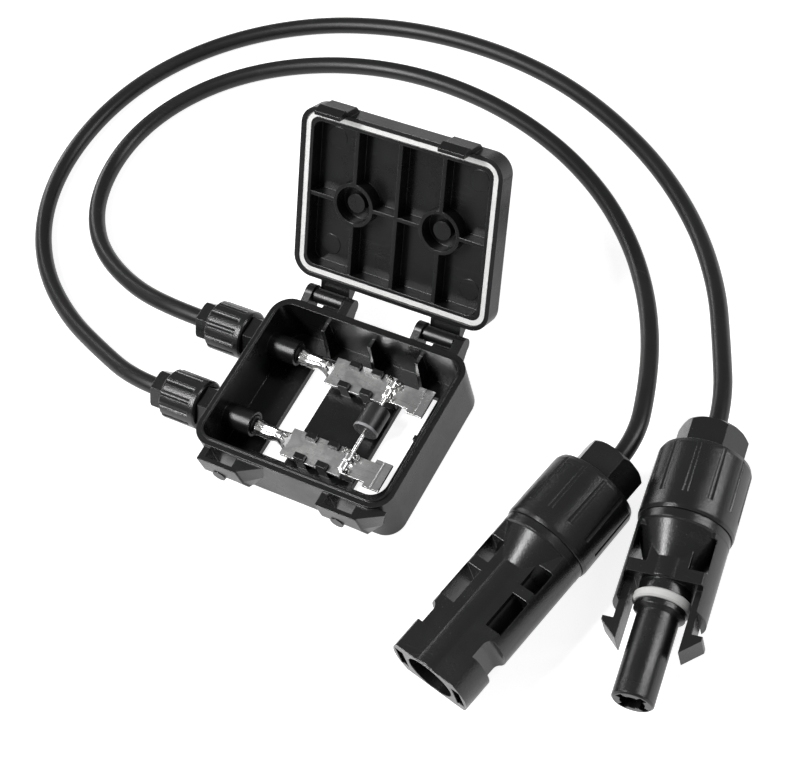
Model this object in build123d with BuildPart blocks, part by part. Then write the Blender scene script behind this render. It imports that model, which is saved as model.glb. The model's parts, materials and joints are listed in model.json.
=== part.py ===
# Junction box for a solar panel: a small case with a hinged lid, two terminal
# strips bridged by a diode, and two cable leads that end in a socket connector
# and a plug connector.
#
# Millimetres, +Z up. The origin is the centre of the case's underside, the face
# that is bonded to the panel. +X runs along the hinge, away from the cables, and
# +Y runs from the latches to the hinge. The lid stands open, as it is shown.

import os
from math import cos, floor, pi, radians, sin, tan

from build123d import *

os.makedirs("parts", exist_ok=True)

# Case

CASE_LENGTH = 66.0
CASE_WIDTH = 53.6
CASE_HEIGHT = 17.6
CASE_CORNER = 6.5
CASE_DRAFT = 0.5
WALL = 2.4
FLOOR = 2.0
BOTTOM_ROUND = 0.8
LIP_THICKNESS = 0.7
LIP_HEIGHT = 0.5
FIT_CLEARANCE = 0.05
SLACK = 0.5

NEAR_END = -CASE_LENGTH / 2
FAR_END = CASE_LENGTH / 2
FRONT = -CASE_WIDTH / 2
REAR = CASE_WIDTH / 2

# Windows in the floor, where the panel's ribbons come in

WINDOW_FROM_FRONT = 9.9
WINDOW_FROM_REAR = 7.5
WINDOW_FROM_NEAR_END = 13.9
WINDOW_FROM_FAR_END = 10.9
NEAR_WINDOW_WIDTH = 8.8
FAR_WINDOW_WIDTH = 9.6
FAR_WINDOW_ROUND = 5.0
WINDOW_TAB = (0.7, 1.6)
WINDOW_TAB_Y = 5.0

WINDOW_FRONT = FRONT + WINDOW_FROM_FRONT
WINDOW_REAR = REAR - WINDOW_FROM_REAR
NEAR_WINDOW_START = NEAR_END + WINDOW_FROM_NEAR_END
NEAR_WINDOW_END = NEAR_WINDOW_START + NEAR_WINDOW_WIDTH
FAR_WINDOW_END = FAR_END - WINDOW_FROM_FAR_END
FAR_WINDOW_START = FAR_WINDOW_END - FAR_WINDOW_WIDTH

# Cable entries: the rear one and the front one

ENTRY_FROM_REAR = 12.5
ENTRY_FROM_FRONT = 14.9
ENTRY_HEIGHT = 9.0
CABLE_DIAMETER = 5.34
BORE_CLEARANCE = 0.28
NUT_CLEARANCE = 0.15
SLEEVE_WALL = 0.85
SLEEVE_END = 9.2
JACKET_PAST_SLEEVE = 0.2
HEX_ROUND = 0.4

SPIGOT_STEP = 0.3
SPIGOT_LENGTH = 5.0
GLAND_BUSH_WALL = 0.63
GLAND_CAGE_WALL = 0.85
GLAND_FINGERS = 4.0
GLAND_THREAD_WALL = 1.2
GLAND_THREAD_END = 13.6
GLAND_SOCKET_START = 4.4
GLAND_NUT_WALL = 1.9
GLAND_NUT_GAP = 0.3
GLAND_NUT_CONE = 4.8
GLAND_HEX_LENGTH = 3.9
GLAND_HEX_WALL = 2.45

ENTRY_Y = {"rear": REAR - ENTRY_FROM_REAR, "front": FRONT + ENTRY_FROM_FRONT}
CABLE_HOLE = CABLE_DIAMETER / 2 + BORE_CLEARANCE
SLEEVE_RADIUS = CABLE_HOLE + SLEEVE_WALL
JACKET_END = WALL + SLEEVE_END + JACKET_PAST_SLEEVE
GLAND_BUSH_RADIUS = CABLE_DIAMETER / 2 + FIT_CLEARANCE + GLAND_BUSH_WALL
GLAND_CAGE_BORE = GLAND_BUSH_RADIUS + FIT_CLEARANCE
GLAND_CAGE_RADIUS = GLAND_CAGE_BORE + GLAND_CAGE_WALL
GLAND_SOCKET_RADIUS = GLAND_CAGE_RADIUS + FIT_CLEARANCE
GLAND_THREAD_RADIUS = GLAND_SOCKET_RADIUS + GLAND_THREAD_WALL
SPIGOT_FLATS = 2 * (GLAND_THREAD_RADIUS + SPIGOT_STEP)
GLAND_NUT_BORE = GLAND_THREAD_RADIUS + NUT_CLEARANCE
GLAND_NUT_RADIUS = GLAND_NUT_BORE + GLAND_NUT_WALL
GLAND_NUT_START = SPIGOT_LENGTH + GLAND_NUT_GAP
GLAND_NUT_SHOULDER = GLAND_THREAD_END + GLAND_NUT_CONE
GLAND_NUT_END = GLAND_NUT_SHOULDER + GLAND_HEX_LENGTH
GLAND_NUT_FLATS = 2 * (CABLE_HOLE + GLAND_HEX_WALL)

# Terminal strips

STRIP_THICKNESS = 0.8
STRIP_LIFT = 3.2
STRIP_WIDTH = 9.2
STRIP_PAST_WINDOW = 0.2
STRIP_PAD_LENGTH = 5.3
STRIP_NECK_LENGTH = 7.6
STRIP_NECK_INSET = 1.2
STRAND_REACH = 2.3
CRIMP_LENGTH = 7.7
CRIMP_RADIUS = 1.75
CRIMP_WALL = 0.45
NOTCH_FIRST = 6.8
NOTCH_PITCH = 7.6
NOTCH_LENGTH = 3.8
NOTCH_DEPTH = 1.75
SEAT_FROM_NEAR_WINDOW = 0.3
SEAT_FROM_FAR_WINDOW = 0.2
SEAT_WIDTH = 6.6
TAB_RADIUS = 1.35
TAB_WIDTH = 2.2

STRIP_BOTTOM = FLOOR + STRIP_LIFT
STRIP_TOP = STRIP_BOTTOM + STRIP_THICKNESS
CRIMP_START = NEAR_END + JACKET_END + STRAND_REACH
CRIMP_AXIS = STRIP_TOP - 0.1 + CRIMP_RADIUS - CRIMP_WALL
STRIP_START = CRIMP_START + CRIMP_LENGTH
STRIP_END = FAR_WINDOW_END + STRIP_PAST_WINDOW
STRIP_PAD_START = STRIP_END - STRIP_PAD_LENGTH
DIODE_X = STRIP_PAD_START - STRIP_NECK_LENGTH
NOTCH_ROOM = DIODE_X - TAB_RADIUS - NOTCH_LENGTH / 2 - STRIP_START - NOTCH_FIRST
NOTCH_X = [
    STRIP_START + NOTCH_FIRST + count * NOTCH_PITCH
    for count in range(floor(NOTCH_ROOM / NOTCH_PITCH) + 1)
]
SEAT_START = NEAR_WINDOW_END + SEAT_FROM_NEAR_WINDOW
SEAT_END = FAR_WINDOW_START - SEAT_FROM_FAR_WINDOW

# Ribs on the inside of the rear wall

WALL_RIB_PITCH = 16.0
WALL_RIB_THICKNESS = 1.2
WALL_RIB_DROP = 3.6
WALL_RIB_SLOPE = 2.0
WALL_RIB_GAP = 0.5

# Clips that hold the strips

CLIP_LENGTH = 3.4
CLIP_THICKNESS = 1.6
CLIP_HOOK = 0.55
CLIP_HOOK_HEIGHT = 1.3
STRIP_GAP = 0.15

# Bypass diode

DIODE_RADIUS = 3.9
DIODE_ROUND = 0.35
DIODE_FROM_REAR_STRIP = 6.9
DIODE_FROM_FRONT_STRIP = 11.0
LEAD_RADIUS = 0.6
LEAD_REACH = 3.1

DIODE_REAR = ENTRY_Y["rear"] - DIODE_FROM_REAR_STRIP
DIODE_FRONT = ENTRY_Y["front"] + DIODE_FROM_FRONT_STRIP
LEAD_AXIS = STRIP_TOP + LEAD_RADIUS

# Hinges

HINGE_REACH = 4.35
HINGE_DROP = 1.75
HINGE_FROM_NEAR_END = 7.1
HINGE_FROM_FAR_END = 5.3
PIN_RADIUS = 1.5
EYE_RADIUS = 2.3
TALL_EAR_RADIUS = 3.0
SHORT_EAR_RADIUS = 2.3
TALL_EAR_WIDTH = 2.5
EYE_WIDTH = 9.8
SHORT_EAR_WIDTH = 3.0
EAR_GAP = 0.3
OPEN_ANGLE = 122.0
SHELF_START = 6.4
SHELF_REACH = 2.0

HINGE_Y = REAR + HINGE_REACH
HINGE_Z = CASE_HEIGHT - HINGE_DROP
HINGE_WIDTH = TALL_EAR_WIDTH + EYE_WIDTH + SHORT_EAR_WIDTH + 2 * EAR_GAP
HINGE_X = (NEAR_END + HINGE_FROM_NEAR_END, FAR_END - HINGE_FROM_FAR_END - HINGE_WIDTH)

# Latches

LATCH_FROM_NEAR_END = 12.2
LATCH_FROM_FAR_END = 13.6
POCKET_WIDTH = 13.4
POCKET_HOLE_WIDTH = 9.2
POCKET_HOLE_DEPTH = 3.1
POCKET_DEPTH = 4.5
POCKET_DROP = 1.1
POCKET_HEIGHT = 7.4
POCKET_SLOPE = 0.6
POCKET_CHAMFER = 2.6
CHEEK_REACH = 2.5
CHEEK_DROP = 3.9
GUSSET_REACH = 6.9
GUSSET_WAIST = 4.6
GUSSET_FOOT = 0.9
BUMP_RADIUS = 2.1
BUMP_HEIGHT = 1.2

LATCH_X = (NEAR_END + LATCH_FROM_NEAR_END, FAR_END - LATCH_FROM_FAR_END)
POCKET_TOP = CASE_HEIGHT - POCKET_DROP
POCKET_BOTTOM = POCKET_TOP - POCKET_HEIGHT

# Lid, in the coordinates that it has when it is closed

LID_GAP = 0.1
LID_DEPTH = 6.9
LID_PLATE = 1.8
LID_CORNER = 6.0
LID_EDGE_ROUND = 1.2
RIM_WALL = 1.35
GROOVE_OUT = 3.05
GROOVE_DEPTH = 1.9
INNER_WALL_OUT = 4.1
INNER_WALL_LIFT = 0.4
GASKET_GAP = 0.1
LID_RIB_PITCH = 14.35
LID_RIB_THICKNESS = 1.2
LID_RIB_LIFT = 0.7
CROSS_RIB_Y = 0.3
RING_RADIUS = 6.7
RING_BORE = 5.6
STUB_RADIUS = 2.9
STUB_LIFT = 2.5
EJECTOR_FROM_ENDS = 9.5
EJECTOR_FROM_SIDES = 9.8
EJECTOR_RADIUS = 3.2
EJECTOR_RAISE = 0.15
TONGUE_WIDTH = 8.4
TONGUE_THICKNESS = 1.6
TONGUE_SETBACK = 0.35
TONGUE_BARB = 0.7
TONGUE_RISE = 5.0
TONGUE_REACH = 6.1

LID_RIM = CASE_HEIGHT + LID_GAP
GROOVE_FLOOR = LID_RIM + GROOVE_DEPTH
GASKET_FACE = CASE_HEIGHT + LIP_HEIGHT + GASKET_GAP
CAVITY_TOP = LID_RIM + LID_DEPTH - LID_PLATE
TONGUE_TOP = LID_RIM + TONGUE_RISE
TONGUE_TIP = LID_RIM - TONGUE_REACH

# Connectors: stations run along the axis from the nut to the mouth

CONNECTOR_AXIS = 13.2
SOCKET_AT = (83.4, 13.0)
SOCKET_YAW = -102.5
PLUG_AT = (104.1, 36.0)
PLUG_YAW = -80.5
PLUG_SHIFT = 4.9
HEX_START = -1.0
HEX_FLATS = 17.0
SHOULDER = 7.6
FLUTE_END = 24.8
FLUTE_RADIUS = 1.3
FLUTE_DEPTH = 0.4
JOINT = 29.8
NUT_STEP = 0.6
NUT_EDGE = 0.5
BUSH_WALL = 1.93
CAGE_START = 5.5
CAGE_WALL = 0.7
THREAD_START = 14.0
THREAD_WALL = 1.5
CAGE_SOCKET_RADIUS = 7.0
CAGE_SOCKET_END = 23.0
CONTACT_RADIUS = 3.3
CONTACT_SEAT_END = 43.8
PIN_CONTACT_RADIUS = 2.0
CORE_BORE = 7.3
CORE_WALL = 0.8
CONE_LENGTH = 12.0
SEAL_RING_RADIUS = 7.9
SEAL_RING_SEAT = 6.2
RING_WIDTH = 2.7
RING_FROM_COLLAR = 3.0
ARM_CLEARANCE = 0.5
ARM_THICKNESS = 2.1
ARM_HALF_HEIGHT = 3.8
ARM_TIP = 66.0
ARM_BARB = 2.9
SHELL_GAP = 0.1
SHELL_THICKNESS = 2.0
BODY_HALF_HEIGHT = 7.6
WINDOW_INNER = 5.6
SOCKET_WINDOW_START = 38.0
SOCKET_WINDOW_LENGTH = 7.3
SOCKET_WINDOW_BRIDGE = 3.0
WINDOW_TO_WAIST = 2.4
WAIST_LENGTH = 6.7
WAIST_WALL = 1.4
WAIST_ROUND = 2.4
MOUTH = 78.0
MOUTH_LENGTH = 9.3
SLOT_WALL = 1.2
SLOT_TO_SIDE = 1.3
SLOT_HALF_HEIGHT = 4.5
PIN_TO_MOUTH = 8.0
PLUG_WINDOW_START = 34.0
WINDOW_TO_COLLAR = 3.7
COLLAR_FRONT = 47.8
SHELL_LENGTH = 7.2
PROBE_RADIUS = 5.7
PROBE_END = 80.6
PROBE_BORE = 3.4
PROBE_LOBE_DEPTH = 4.0
TUBE_TO_PROBE_END = 7.0

ARM_INNER = SEAL_RING_RADIUS + ARM_CLEARANCE
ARM_OUTER = ARM_INNER + ARM_THICKNESS
WINDOW_OUTER = ARM_OUTER + SHELL_GAP
BODY_RADIUS = WINDOW_OUTER + SHELL_THICKNESS
NUT_RADIUS = BODY_RADIUS + NUT_STEP
THREAD_RADIUS = CAGE_SOCKET_RADIUS + THREAD_WALL
NUT_BORE = THREAD_RADIUS + NUT_CLEARANCE
CORE_RADIUS = CORE_BORE + CORE_WALL
BUSH_RADIUS = CABLE_DIAMETER / 2 + FIT_CLEARANCE + BUSH_WALL
CAGE_BORE = BUSH_RADIUS + FIT_CLEARANCE
RING_START = COLLAR_FRONT + RING_FROM_COLLAR
RING_END = RING_START + RING_WIDTH
SHELL_FRONT = COLLAR_FRONT + SHELL_LENGTH
MOUTH_BLOCK = MOUTH - MOUTH_LENGTH
WAIST_START = MOUTH_BLOCK - WAIST_LENGTH
SOCKET_WINDOWS = (
    (SOCKET_WINDOW_START, SOCKET_WINDOW_START + SOCKET_WINDOW_LENGTH),
    (
        SOCKET_WINDOW_START + SOCKET_WINDOW_LENGTH + SOCKET_WINDOW_BRIDGE,
        WAIST_START - WINDOW_TO_WAIST,
    ),
)
PLUG_WINDOWS = ((PLUG_WINDOW_START, COLLAR_FRONT - WINDOW_TO_COLLAR),)

# Routes of the two cables between their straight runs at the gland and the connector

REAR_ROUTE = [
    (-85.5, 17.4, 7.0),
    (-104.4, 26.1, 4.6),
    (-116.6, 38.6, 3.1),
    (-122.2, 53.5, 2.75),
    (-122.6, 69.5, 2.75),
    (-117.8, 85.0, 2.75),
    (-107.6, 99.6, 2.75),
    (-93.0, 111.4, 2.75),
    (-74.6, 120.0, 2.75),
    (-54.0, 124.8, 2.75),
    (-32.5, 125.5, 2.75),
    (-9.5, 122.2, 2.75),
    (13.4, 114.6, 2.75),
    (34.2, 103.0, 3.0),
    (51.2, 88.2, 4.4),
    (64.2, 72.2, 6.8),
    (74.2, 55.4, 9.8),
    (81.3, 38.5, 12.8),
]
FRONT_ROUTE = [
    (-82.0, -6.4, 6.4),
    (-101.5, 1.4, 4.0),
    (-119.5, 13.6, 2.9),
    (-132.2, 29.6, 2.75),
    (-138.9, 49.0, 2.75),
    (-139.2, 70.5, 2.75),
    (-133.4, 91.0, 2.75),
    (-121.6, 109.0, 2.75),
    (-105.0, 123.8, 2.75),
    (-84.8, 134.7, 2.75),
    (-62.5, 141.0, 2.75),
    (-39.9, 143.4, 2.75),
    (-16.5, 142.2, 2.75),
    (6.0, 137.4, 2.75),
    (28.0, 128.4, 2.75),
    (49.2, 115.8, 3.2),
    (68.5, 98.8, 5.0),
    (83.7, 79.4, 8.2),
    (93.8, 60.6, 11.2),
]
REAR_GLAND_RUN = 12.2
FRONT_GLAND_RUN = 10.7
SOCKET_CABLE_RUN = 9.0
PLUG_CABLE_RUN = 10.0
ARC_SHARE = 0.45


# Frames


def across_x(frame, x):
    """The plane across X at a station x of a frame, with the frame's Y and Z as its axes."""
    return Plane(frame.from_local_coords((x, 0, 0)), x_dir=frame.y_dir, z_dir=frame.x_dir)


def turned_frame(at, yaw, height):
    """A frame whose X runs along a lying connector or gland, with Z up."""
    angle = radians(yaw)
    return Plane((at[0], at[1], height), x_dir=(cos(angle), sin(angle), 0), z_dir=(0, 0, 1))


def lid_frame():
    """The closed lid's frame, carried round the hinge to where the lid stands open."""
    hinge = Plane((0, HINGE_Y, HINGE_Z)).rotated((-OPEN_ANGLE, 0, 0))
    corner = hinge.from_local_coords((0, -HINGE_Y, -HINGE_Z))
    return Plane(corner, x_dir=hinge.x_dir, z_dir=hinge.z_dir)


LID = lid_frame()
ENTRY = {
    side: turned_frame((-CASE_LENGTH / 2, y), 180.0, ENTRY_HEIGHT) for side, y in ENTRY_Y.items()
}
SOCKET = turned_frame(SOCKET_AT, SOCKET_YAW, CONNECTOR_AXIS)
PLUG_ANCHOR = turned_frame(PLUG_AT, PLUG_YAW, CONNECTOR_AXIS)
PLUG = Plane(
    PLUG_ANCHOR.from_local_coords((PLUG_SHIFT, 0, 0)),
    x_dir=PLUG_ANCHOR.x_dir,
    z_dir=PLUG_ANCHOR.z_dir,
)


def save(piece, name):
    """Label a finished piece and write it to its own file."""
    piece.part.label = name
    export_step(piece.part, f"parts/{name}.step")


def ring_outline(inset_out, inset_in, length, width, corner):
    """Sketch the ring between two insets of a rounded rectangle."""
    RectangleRounded(length - 2 * inset_out, width - 2 * inset_out, corner - inset_out)
    RectangleRounded(
        length - 2 * inset_in, width - 2 * inset_in, max(corner - inset_in, 1.0), mode=Mode.SUBTRACT
    )


def turned(frame, outline, mode=Mode.ADD):
    """Turn a closed outline of (station, radius) points about a frame's X axis."""
    with BuildSketch(frame) as profile:
        with BuildLine():
            Polyline(*outline, close=True)
        make_face()
    revolve(profile.sketch, axis=Axis(frame.origin, frame.x_dir), mode=mode)


# Case


def cable_entry(frame):
    """Add one entry: the hexagon and the threaded tube outside, the sleeve inside, and the bore."""
    with BuildSketch(across_x(frame, -WALL / 2)) as profile:
        RegularPolygon(SPIGOT_FLATS / 2, 6, major_radius=False)
    extrude(profile.sketch, amount=SPIGOT_LENGTH + WALL / 2)
    with BuildSketch(across_x(frame, 0)) as profile:
        Circle(GLAND_THREAD_RADIUS)
    extrude(profile.sketch, amount=GLAND_THREAD_END)
    with BuildSketch(across_x(frame, -WALL - SLEEVE_END)) as profile:
        Circle(SLEEVE_RADIUS)
    extrude(profile.sketch, amount=WALL / 2 + SLEEVE_END)
    with BuildSketch(across_x(frame, -WALL - SLEEVE_END)) as profile:
        Circle(CABLE_HOLE)
    extrude(profile.sketch, amount=WALL + SLEEVE_END + GLAND_THREAD_END, mode=Mode.SUBTRACT)
    with BuildSketch(across_x(frame, GLAND_SOCKET_START)) as profile:
        Circle(GLAND_SOCKET_RADIUS)
    extrude(profile.sketch, amount=GLAND_THREAD_END, mode=Mode.SUBTRACT)


def strip_seat(y):
    """Add the low wall that a strip lies on, and the four clips that hold it."""
    with BuildSketch(Plane.XY.offset(FLOOR / 2)) as profile:
        with Locations(((SEAT_START + SEAT_END) / 2, y)):
            Rectangle(SEAT_END - SEAT_START, SEAT_WIDTH)
    extrude(profile.sketch, amount=STRIP_BOTTOM - FLOOR / 2)
    notch_wall = STRIP_WIDTH / 2 - NOTCH_DEPTH
    for x in NOTCH_X:
        for side in (-1, 1):
            inner = notch_wall + STRIP_GAP
            outer = inner + CLIP_THICKNESS
            hook_low = STRIP_TOP + STRIP_GAP
            hook_high = hook_low + CLIP_HOOK_HEIGHT
            with BuildSketch(Plane.YZ.offset(x - CLIP_LENGTH / 2)) as profile:
                with BuildLine():
                    Polyline(
                        (y + side * inner, FLOOR / 2),
                        (y + side * inner, hook_low),
                        (y + side * (inner - CLIP_HOOK), hook_low),
                        (y + side * (inner - CLIP_HOOK / 2), hook_high),
                        (y + side * outer, hook_high),
                        (y + side * outer, FLOOR / 2),
                        close=True,
                    )
                make_face()
            extrude(profile.sketch, amount=CLIP_LENGTH)


def latch_pocket(x):
    """Add one open pocket under the rim, with its far cheek, its gusset and its bump."""
    root = FRONT + WALL / 2
    near = x - POCKET_WIDTH / 2
    far = x + POCKET_WIDTH / 2
    outer = FRONT - POCKET_DEPTH
    cheek = (POCKET_WIDTH - POCKET_HOLE_WIDTH) / 2
    cheek_low = POCKET_BOTTOM - CHEEK_DROP
    with BuildSketch(Plane.YZ.offset(near)) as profile:
        with BuildLine():
            Polyline(
                (root, POCKET_TOP),
                (outer, POCKET_TOP),
                (outer + POCKET_SLOPE, POCKET_BOTTOM),
                (root, POCKET_BOTTOM - POCKET_CHAMFER),
                close=True,
            )
        make_face()
    extrude(profile.sketch, amount=POCKET_WIDTH)
    with BuildSketch(Plane.YZ.offset(far - cheek)) as profile:
        with BuildLine():
            Polyline(
                (root, POCKET_TOP),
                (outer + POCKET_SLOPE, POCKET_BOTTOM),
                (FRONT - CHEEK_REACH, cheek_low),
                (root, cheek_low - POCKET_CHAMFER),
                close=True,
            )
        make_face()
    extrude(profile.sketch, amount=cheek)
    stations = [
        (POCKET_TOP, GUSSET_REACH, outer + 0.4),
        (POCKET_BOTTOM + 0.4, GUSSET_WAIST, outer + 1.0),
        (cheek_low - 0.8, GUSSET_FOOT, outer + 2.4),
    ]
    for head, foot in zip(stations, stations[1:]):
        levels = []
        for height, reach, face in (head, foot):
            with BuildSketch(Plane.XY.offset(height)) as level:
                with BuildLine():
                    Polyline(
                        (far - 0.4, root),
                        (far + reach, root),
                        (far + reach, FRONT),
                        (far - 0.4, face),
                        close=True,
                    )
                make_face()
            levels.append(level.sketch)
        loft(levels, ruled=True)
    with BuildSketch(Plane.XZ.offset(-FRONT + POCKET_HOLE_DEPTH)) as profile:
        with Locations((near + cheek + BUMP_RADIUS + 1.0, POCKET_BOTTOM)):
            Circle(BUMP_RADIUS)
    extrude(profile.sketch, amount=BUMP_HEIGHT)
    with BuildSketch(Plane.XY.offset(SLACK)) as profile:
        with Locations((x, FRONT - POCKET_HOLE_DEPTH / 2)):
            Rectangle(POCKET_HOLE_WIDTH, POCKET_HOLE_DEPTH)
    extrude(profile.sketch, amount=CASE_HEIGHT, mode=Mode.SUBTRACT)


def hinge_ears(x):
    """Add one hinge's two ears with the pin between them, and the shelf below the pin."""
    root = REAR - WALL / 2
    short_x = x + HINGE_WIDTH - SHORT_EAR_WIDTH
    for start, width, radius in (
        (x, TALL_EAR_WIDTH, TALL_EAR_RADIUS),
        (short_x, SHORT_EAR_WIDTH, SHORT_EAR_RADIUS),
    ):
        with BuildSketch(Plane.YZ.offset(start)) as profile:
            with BuildLine():
                Polyline(
                    (root, CASE_HEIGHT),
                    (REAR + FIT_CLEARANCE, CASE_HEIGHT),
                    (HINGE_Y, HINGE_Z + radius),
                    (HINGE_Y, HINGE_Z - radius),
                    (root, HINGE_Z - 2 * radius - 1.0),
                    close=True,
                )
            make_face()
            with Locations((HINGE_Y, HINGE_Z)):
                Circle(radius)
        extrude(profile.sketch, amount=width)
    with BuildSketch(Plane.YZ.offset(x + TALL_EAR_WIDTH / 2)) as profile:
        with Locations((HINGE_Y, HINGE_Z)):
            Circle(PIN_RADIUS)
    extrude(profile.sketch, amount=short_x + SHORT_EAR_WIDTH / 2 - x - TALL_EAR_WIDTH / 2)
    with BuildSketch(Plane.YZ.offset(x + SHELF_START)) as profile:
        with BuildLine():
            Polyline(
                (root, HINGE_Z),
                (REAR + SHELF_REACH, HINGE_Z - 0.4),
                (REAR + SHELF_REACH, HINGE_Z - 3.4),
                (root, HINGE_Z - 5.4),
                close=True,
            )
        make_face()
    extrude(profile.sketch, amount=short_x - x - SHELF_START)


with BuildPart() as case:
    with BuildSketch():
        RectangleRounded(
            CASE_LENGTH - 2 * CASE_DRAFT, CASE_WIDTH - 2 * CASE_DRAFT, CASE_CORNER - CASE_DRAFT
        )
    with BuildSketch(Plane.XY.offset(CASE_HEIGHT)):
        RectangleRounded(CASE_LENGTH, CASE_WIDTH, CASE_CORNER)
    loft(ruled=True)
    fillet(case.edges().group_by(Axis.Z)[0], radius=BOTTOM_ROUND)
    with BuildSketch(Plane.XY.offset(FLOOR)):
        RectangleRounded(CASE_LENGTH - 2 * WALL, CASE_WIDTH - 2 * WALL, CASE_CORNER - WALL)
    extrude(amount=CASE_HEIGHT, mode=Mode.SUBTRACT)
    with BuildSketch(Plane.XY.offset(CASE_HEIGHT - LIP_HEIGHT)):
        ring_outline(WALL - LIP_THICKNESS, WALL, CASE_LENGTH, CASE_WIDTH, CASE_CORNER)
    extrude(amount=2 * LIP_HEIGHT)

    window_length = WINDOW_REAR - WINDOW_FRONT
    window_y = (WINDOW_REAR + WINDOW_FRONT) / 2
    with BuildSketch():
        with Locations((NEAR_WINDOW_START + NEAR_WINDOW_WIDTH / 2, window_y)):
            Rectangle(NEAR_WINDOW_WIDTH, window_length)
        with Locations((FAR_WINDOW_START + FAR_WINDOW_WIDTH / 2, window_y)):
            far_window = Rectangle(FAR_WINDOW_WIDTH, window_length)
        fillet(
            far_window.vertices().group_by(Axis.X)[-1].sort_by(Axis.Y)[0], radius=FAR_WINDOW_ROUND
        )
        with Locations((FAR_WINDOW_END - WINDOW_TAB[0] / 2, WINDOW_TAB_Y)):
            Rectangle(WINDOW_TAB[0], WINDOW_TAB[1], mode=Mode.SUBTRACT)
    extrude(amount=FLOOR, mode=Mode.SUBTRACT)

    rib_root = REAR - WALL / 2
    rib_foot = ENTRY_Y["rear"] + STRIP_WIDTH / 2 + WALL_RIB_GAP
    rib_top = CASE_HEIGHT - WALL_RIB_DROP
    for rib_x in (-WALL_RIB_PITCH, 0.0, WALL_RIB_PITCH):
        with BuildSketch(Plane.YZ.offset(rib_x - WALL_RIB_THICKNESS / 2)):
            with BuildLine():
                Polyline(
                    (rib_root, FLOOR / 2),
                    (rib_foot, FLOOR / 2),
                    (rib_foot + WALL_RIB_SLOPE, rib_top),
                    (rib_root, rib_top),
                    close=True,
                )
            make_face()
        extrude(amount=WALL_RIB_THICKNESS)

    for entry_y in ENTRY_Y.values():
        strip_seat(entry_y)
    for entry in ENTRY.values():
        cable_entry(entry)
    for latch_x in LATCH_X:
        latch_pocket(latch_x)
    for hinge_x in HINGE_X:
        hinge_ears(hinge_x)
save(case, "case")


# Lid


def lid_eye(x):
    """Add the eye of one hinge to the lid: an arm from the rear wall and a split barrel."""
    start = x + TALL_EAR_WIDTH + EAR_GAP
    arm = [
        (REAR - WALL / 2, LID_RIM + 0.1),
        (HINGE_Y - 1.2, LID_RIM + 0.1),
        (HINGE_Y, HINGE_Z),
        (HINGE_Y + EYE_RADIUS - 0.2, HINGE_Z + 0.8),
        (HINGE_Y + 0.8, LID_RIM + 1.6),
        (REAR + 1.8, LID_RIM + 4.0),
        (REAR - WALL / 2, LID_RIM + 4.0),
    ]
    with BuildSketch(across_x(LID, start)) as profile:
        with BuildLine():
            Polyline(*arm, close=True)
        make_face()
        with Locations((HINGE_Y, HINGE_Z)):
            Circle(EYE_RADIUS)
    extrude(profile.sketch, amount=EYE_WIDTH)
    with BuildSketch(across_x(LID, start)) as profile:
        with Locations((HINGE_Y, HINGE_Z)):
            Circle(PIN_RADIUS + FIT_CLEARANCE)
        with BuildLine():
            Polyline(
                (HINGE_Y, HINGE_Z - 0.9),
                (HINGE_Y + 0.9, HINGE_Z),
                (HINGE_Y + 3.4, HINGE_Z - 2.5),
                (HINGE_Y + 2.5, HINGE_Z - 3.4),
                close=True,
            )
        make_face()
    extrude(profile.sketch, amount=EYE_WIDTH, mode=Mode.SUBTRACT)


def lid_tongue(x):
    """Add one latch tongue to the lid's front wall, with its barb."""
    inner = FRONT - TONGUE_SETBACK
    outer = inner - TONGUE_THICKNESS
    tongue = [
        (FRONT + RIM_WALL / 2, TONGUE_TOP),
        (FRONT + RIM_WALL / 2, LID_RIM + 0.2),
        (FRONT - 0.1, LID_RIM + 0.2),
        (inner, LID_RIM - 0.6),
        (inner, TONGUE_TIP),
        (outer + 0.5, TONGUE_TIP),
        (outer - TONGUE_BARB, TONGUE_TIP + 2.6),
        (outer - TONGUE_BARB, TONGUE_TIP + 3.2),
        (outer, TONGUE_TIP + 3.8),
        (outer, TONGUE_TOP - 2.0),
        (FRONT, TONGUE_TOP),
    ]
    with BuildSketch(across_x(LID, x - TONGUE_WIDTH / 2)) as profile:
        with BuildLine():
            Polyline(*tongue, close=True)
        make_face()
    extrude(profile.sketch, amount=TONGUE_WIDTH)


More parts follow.
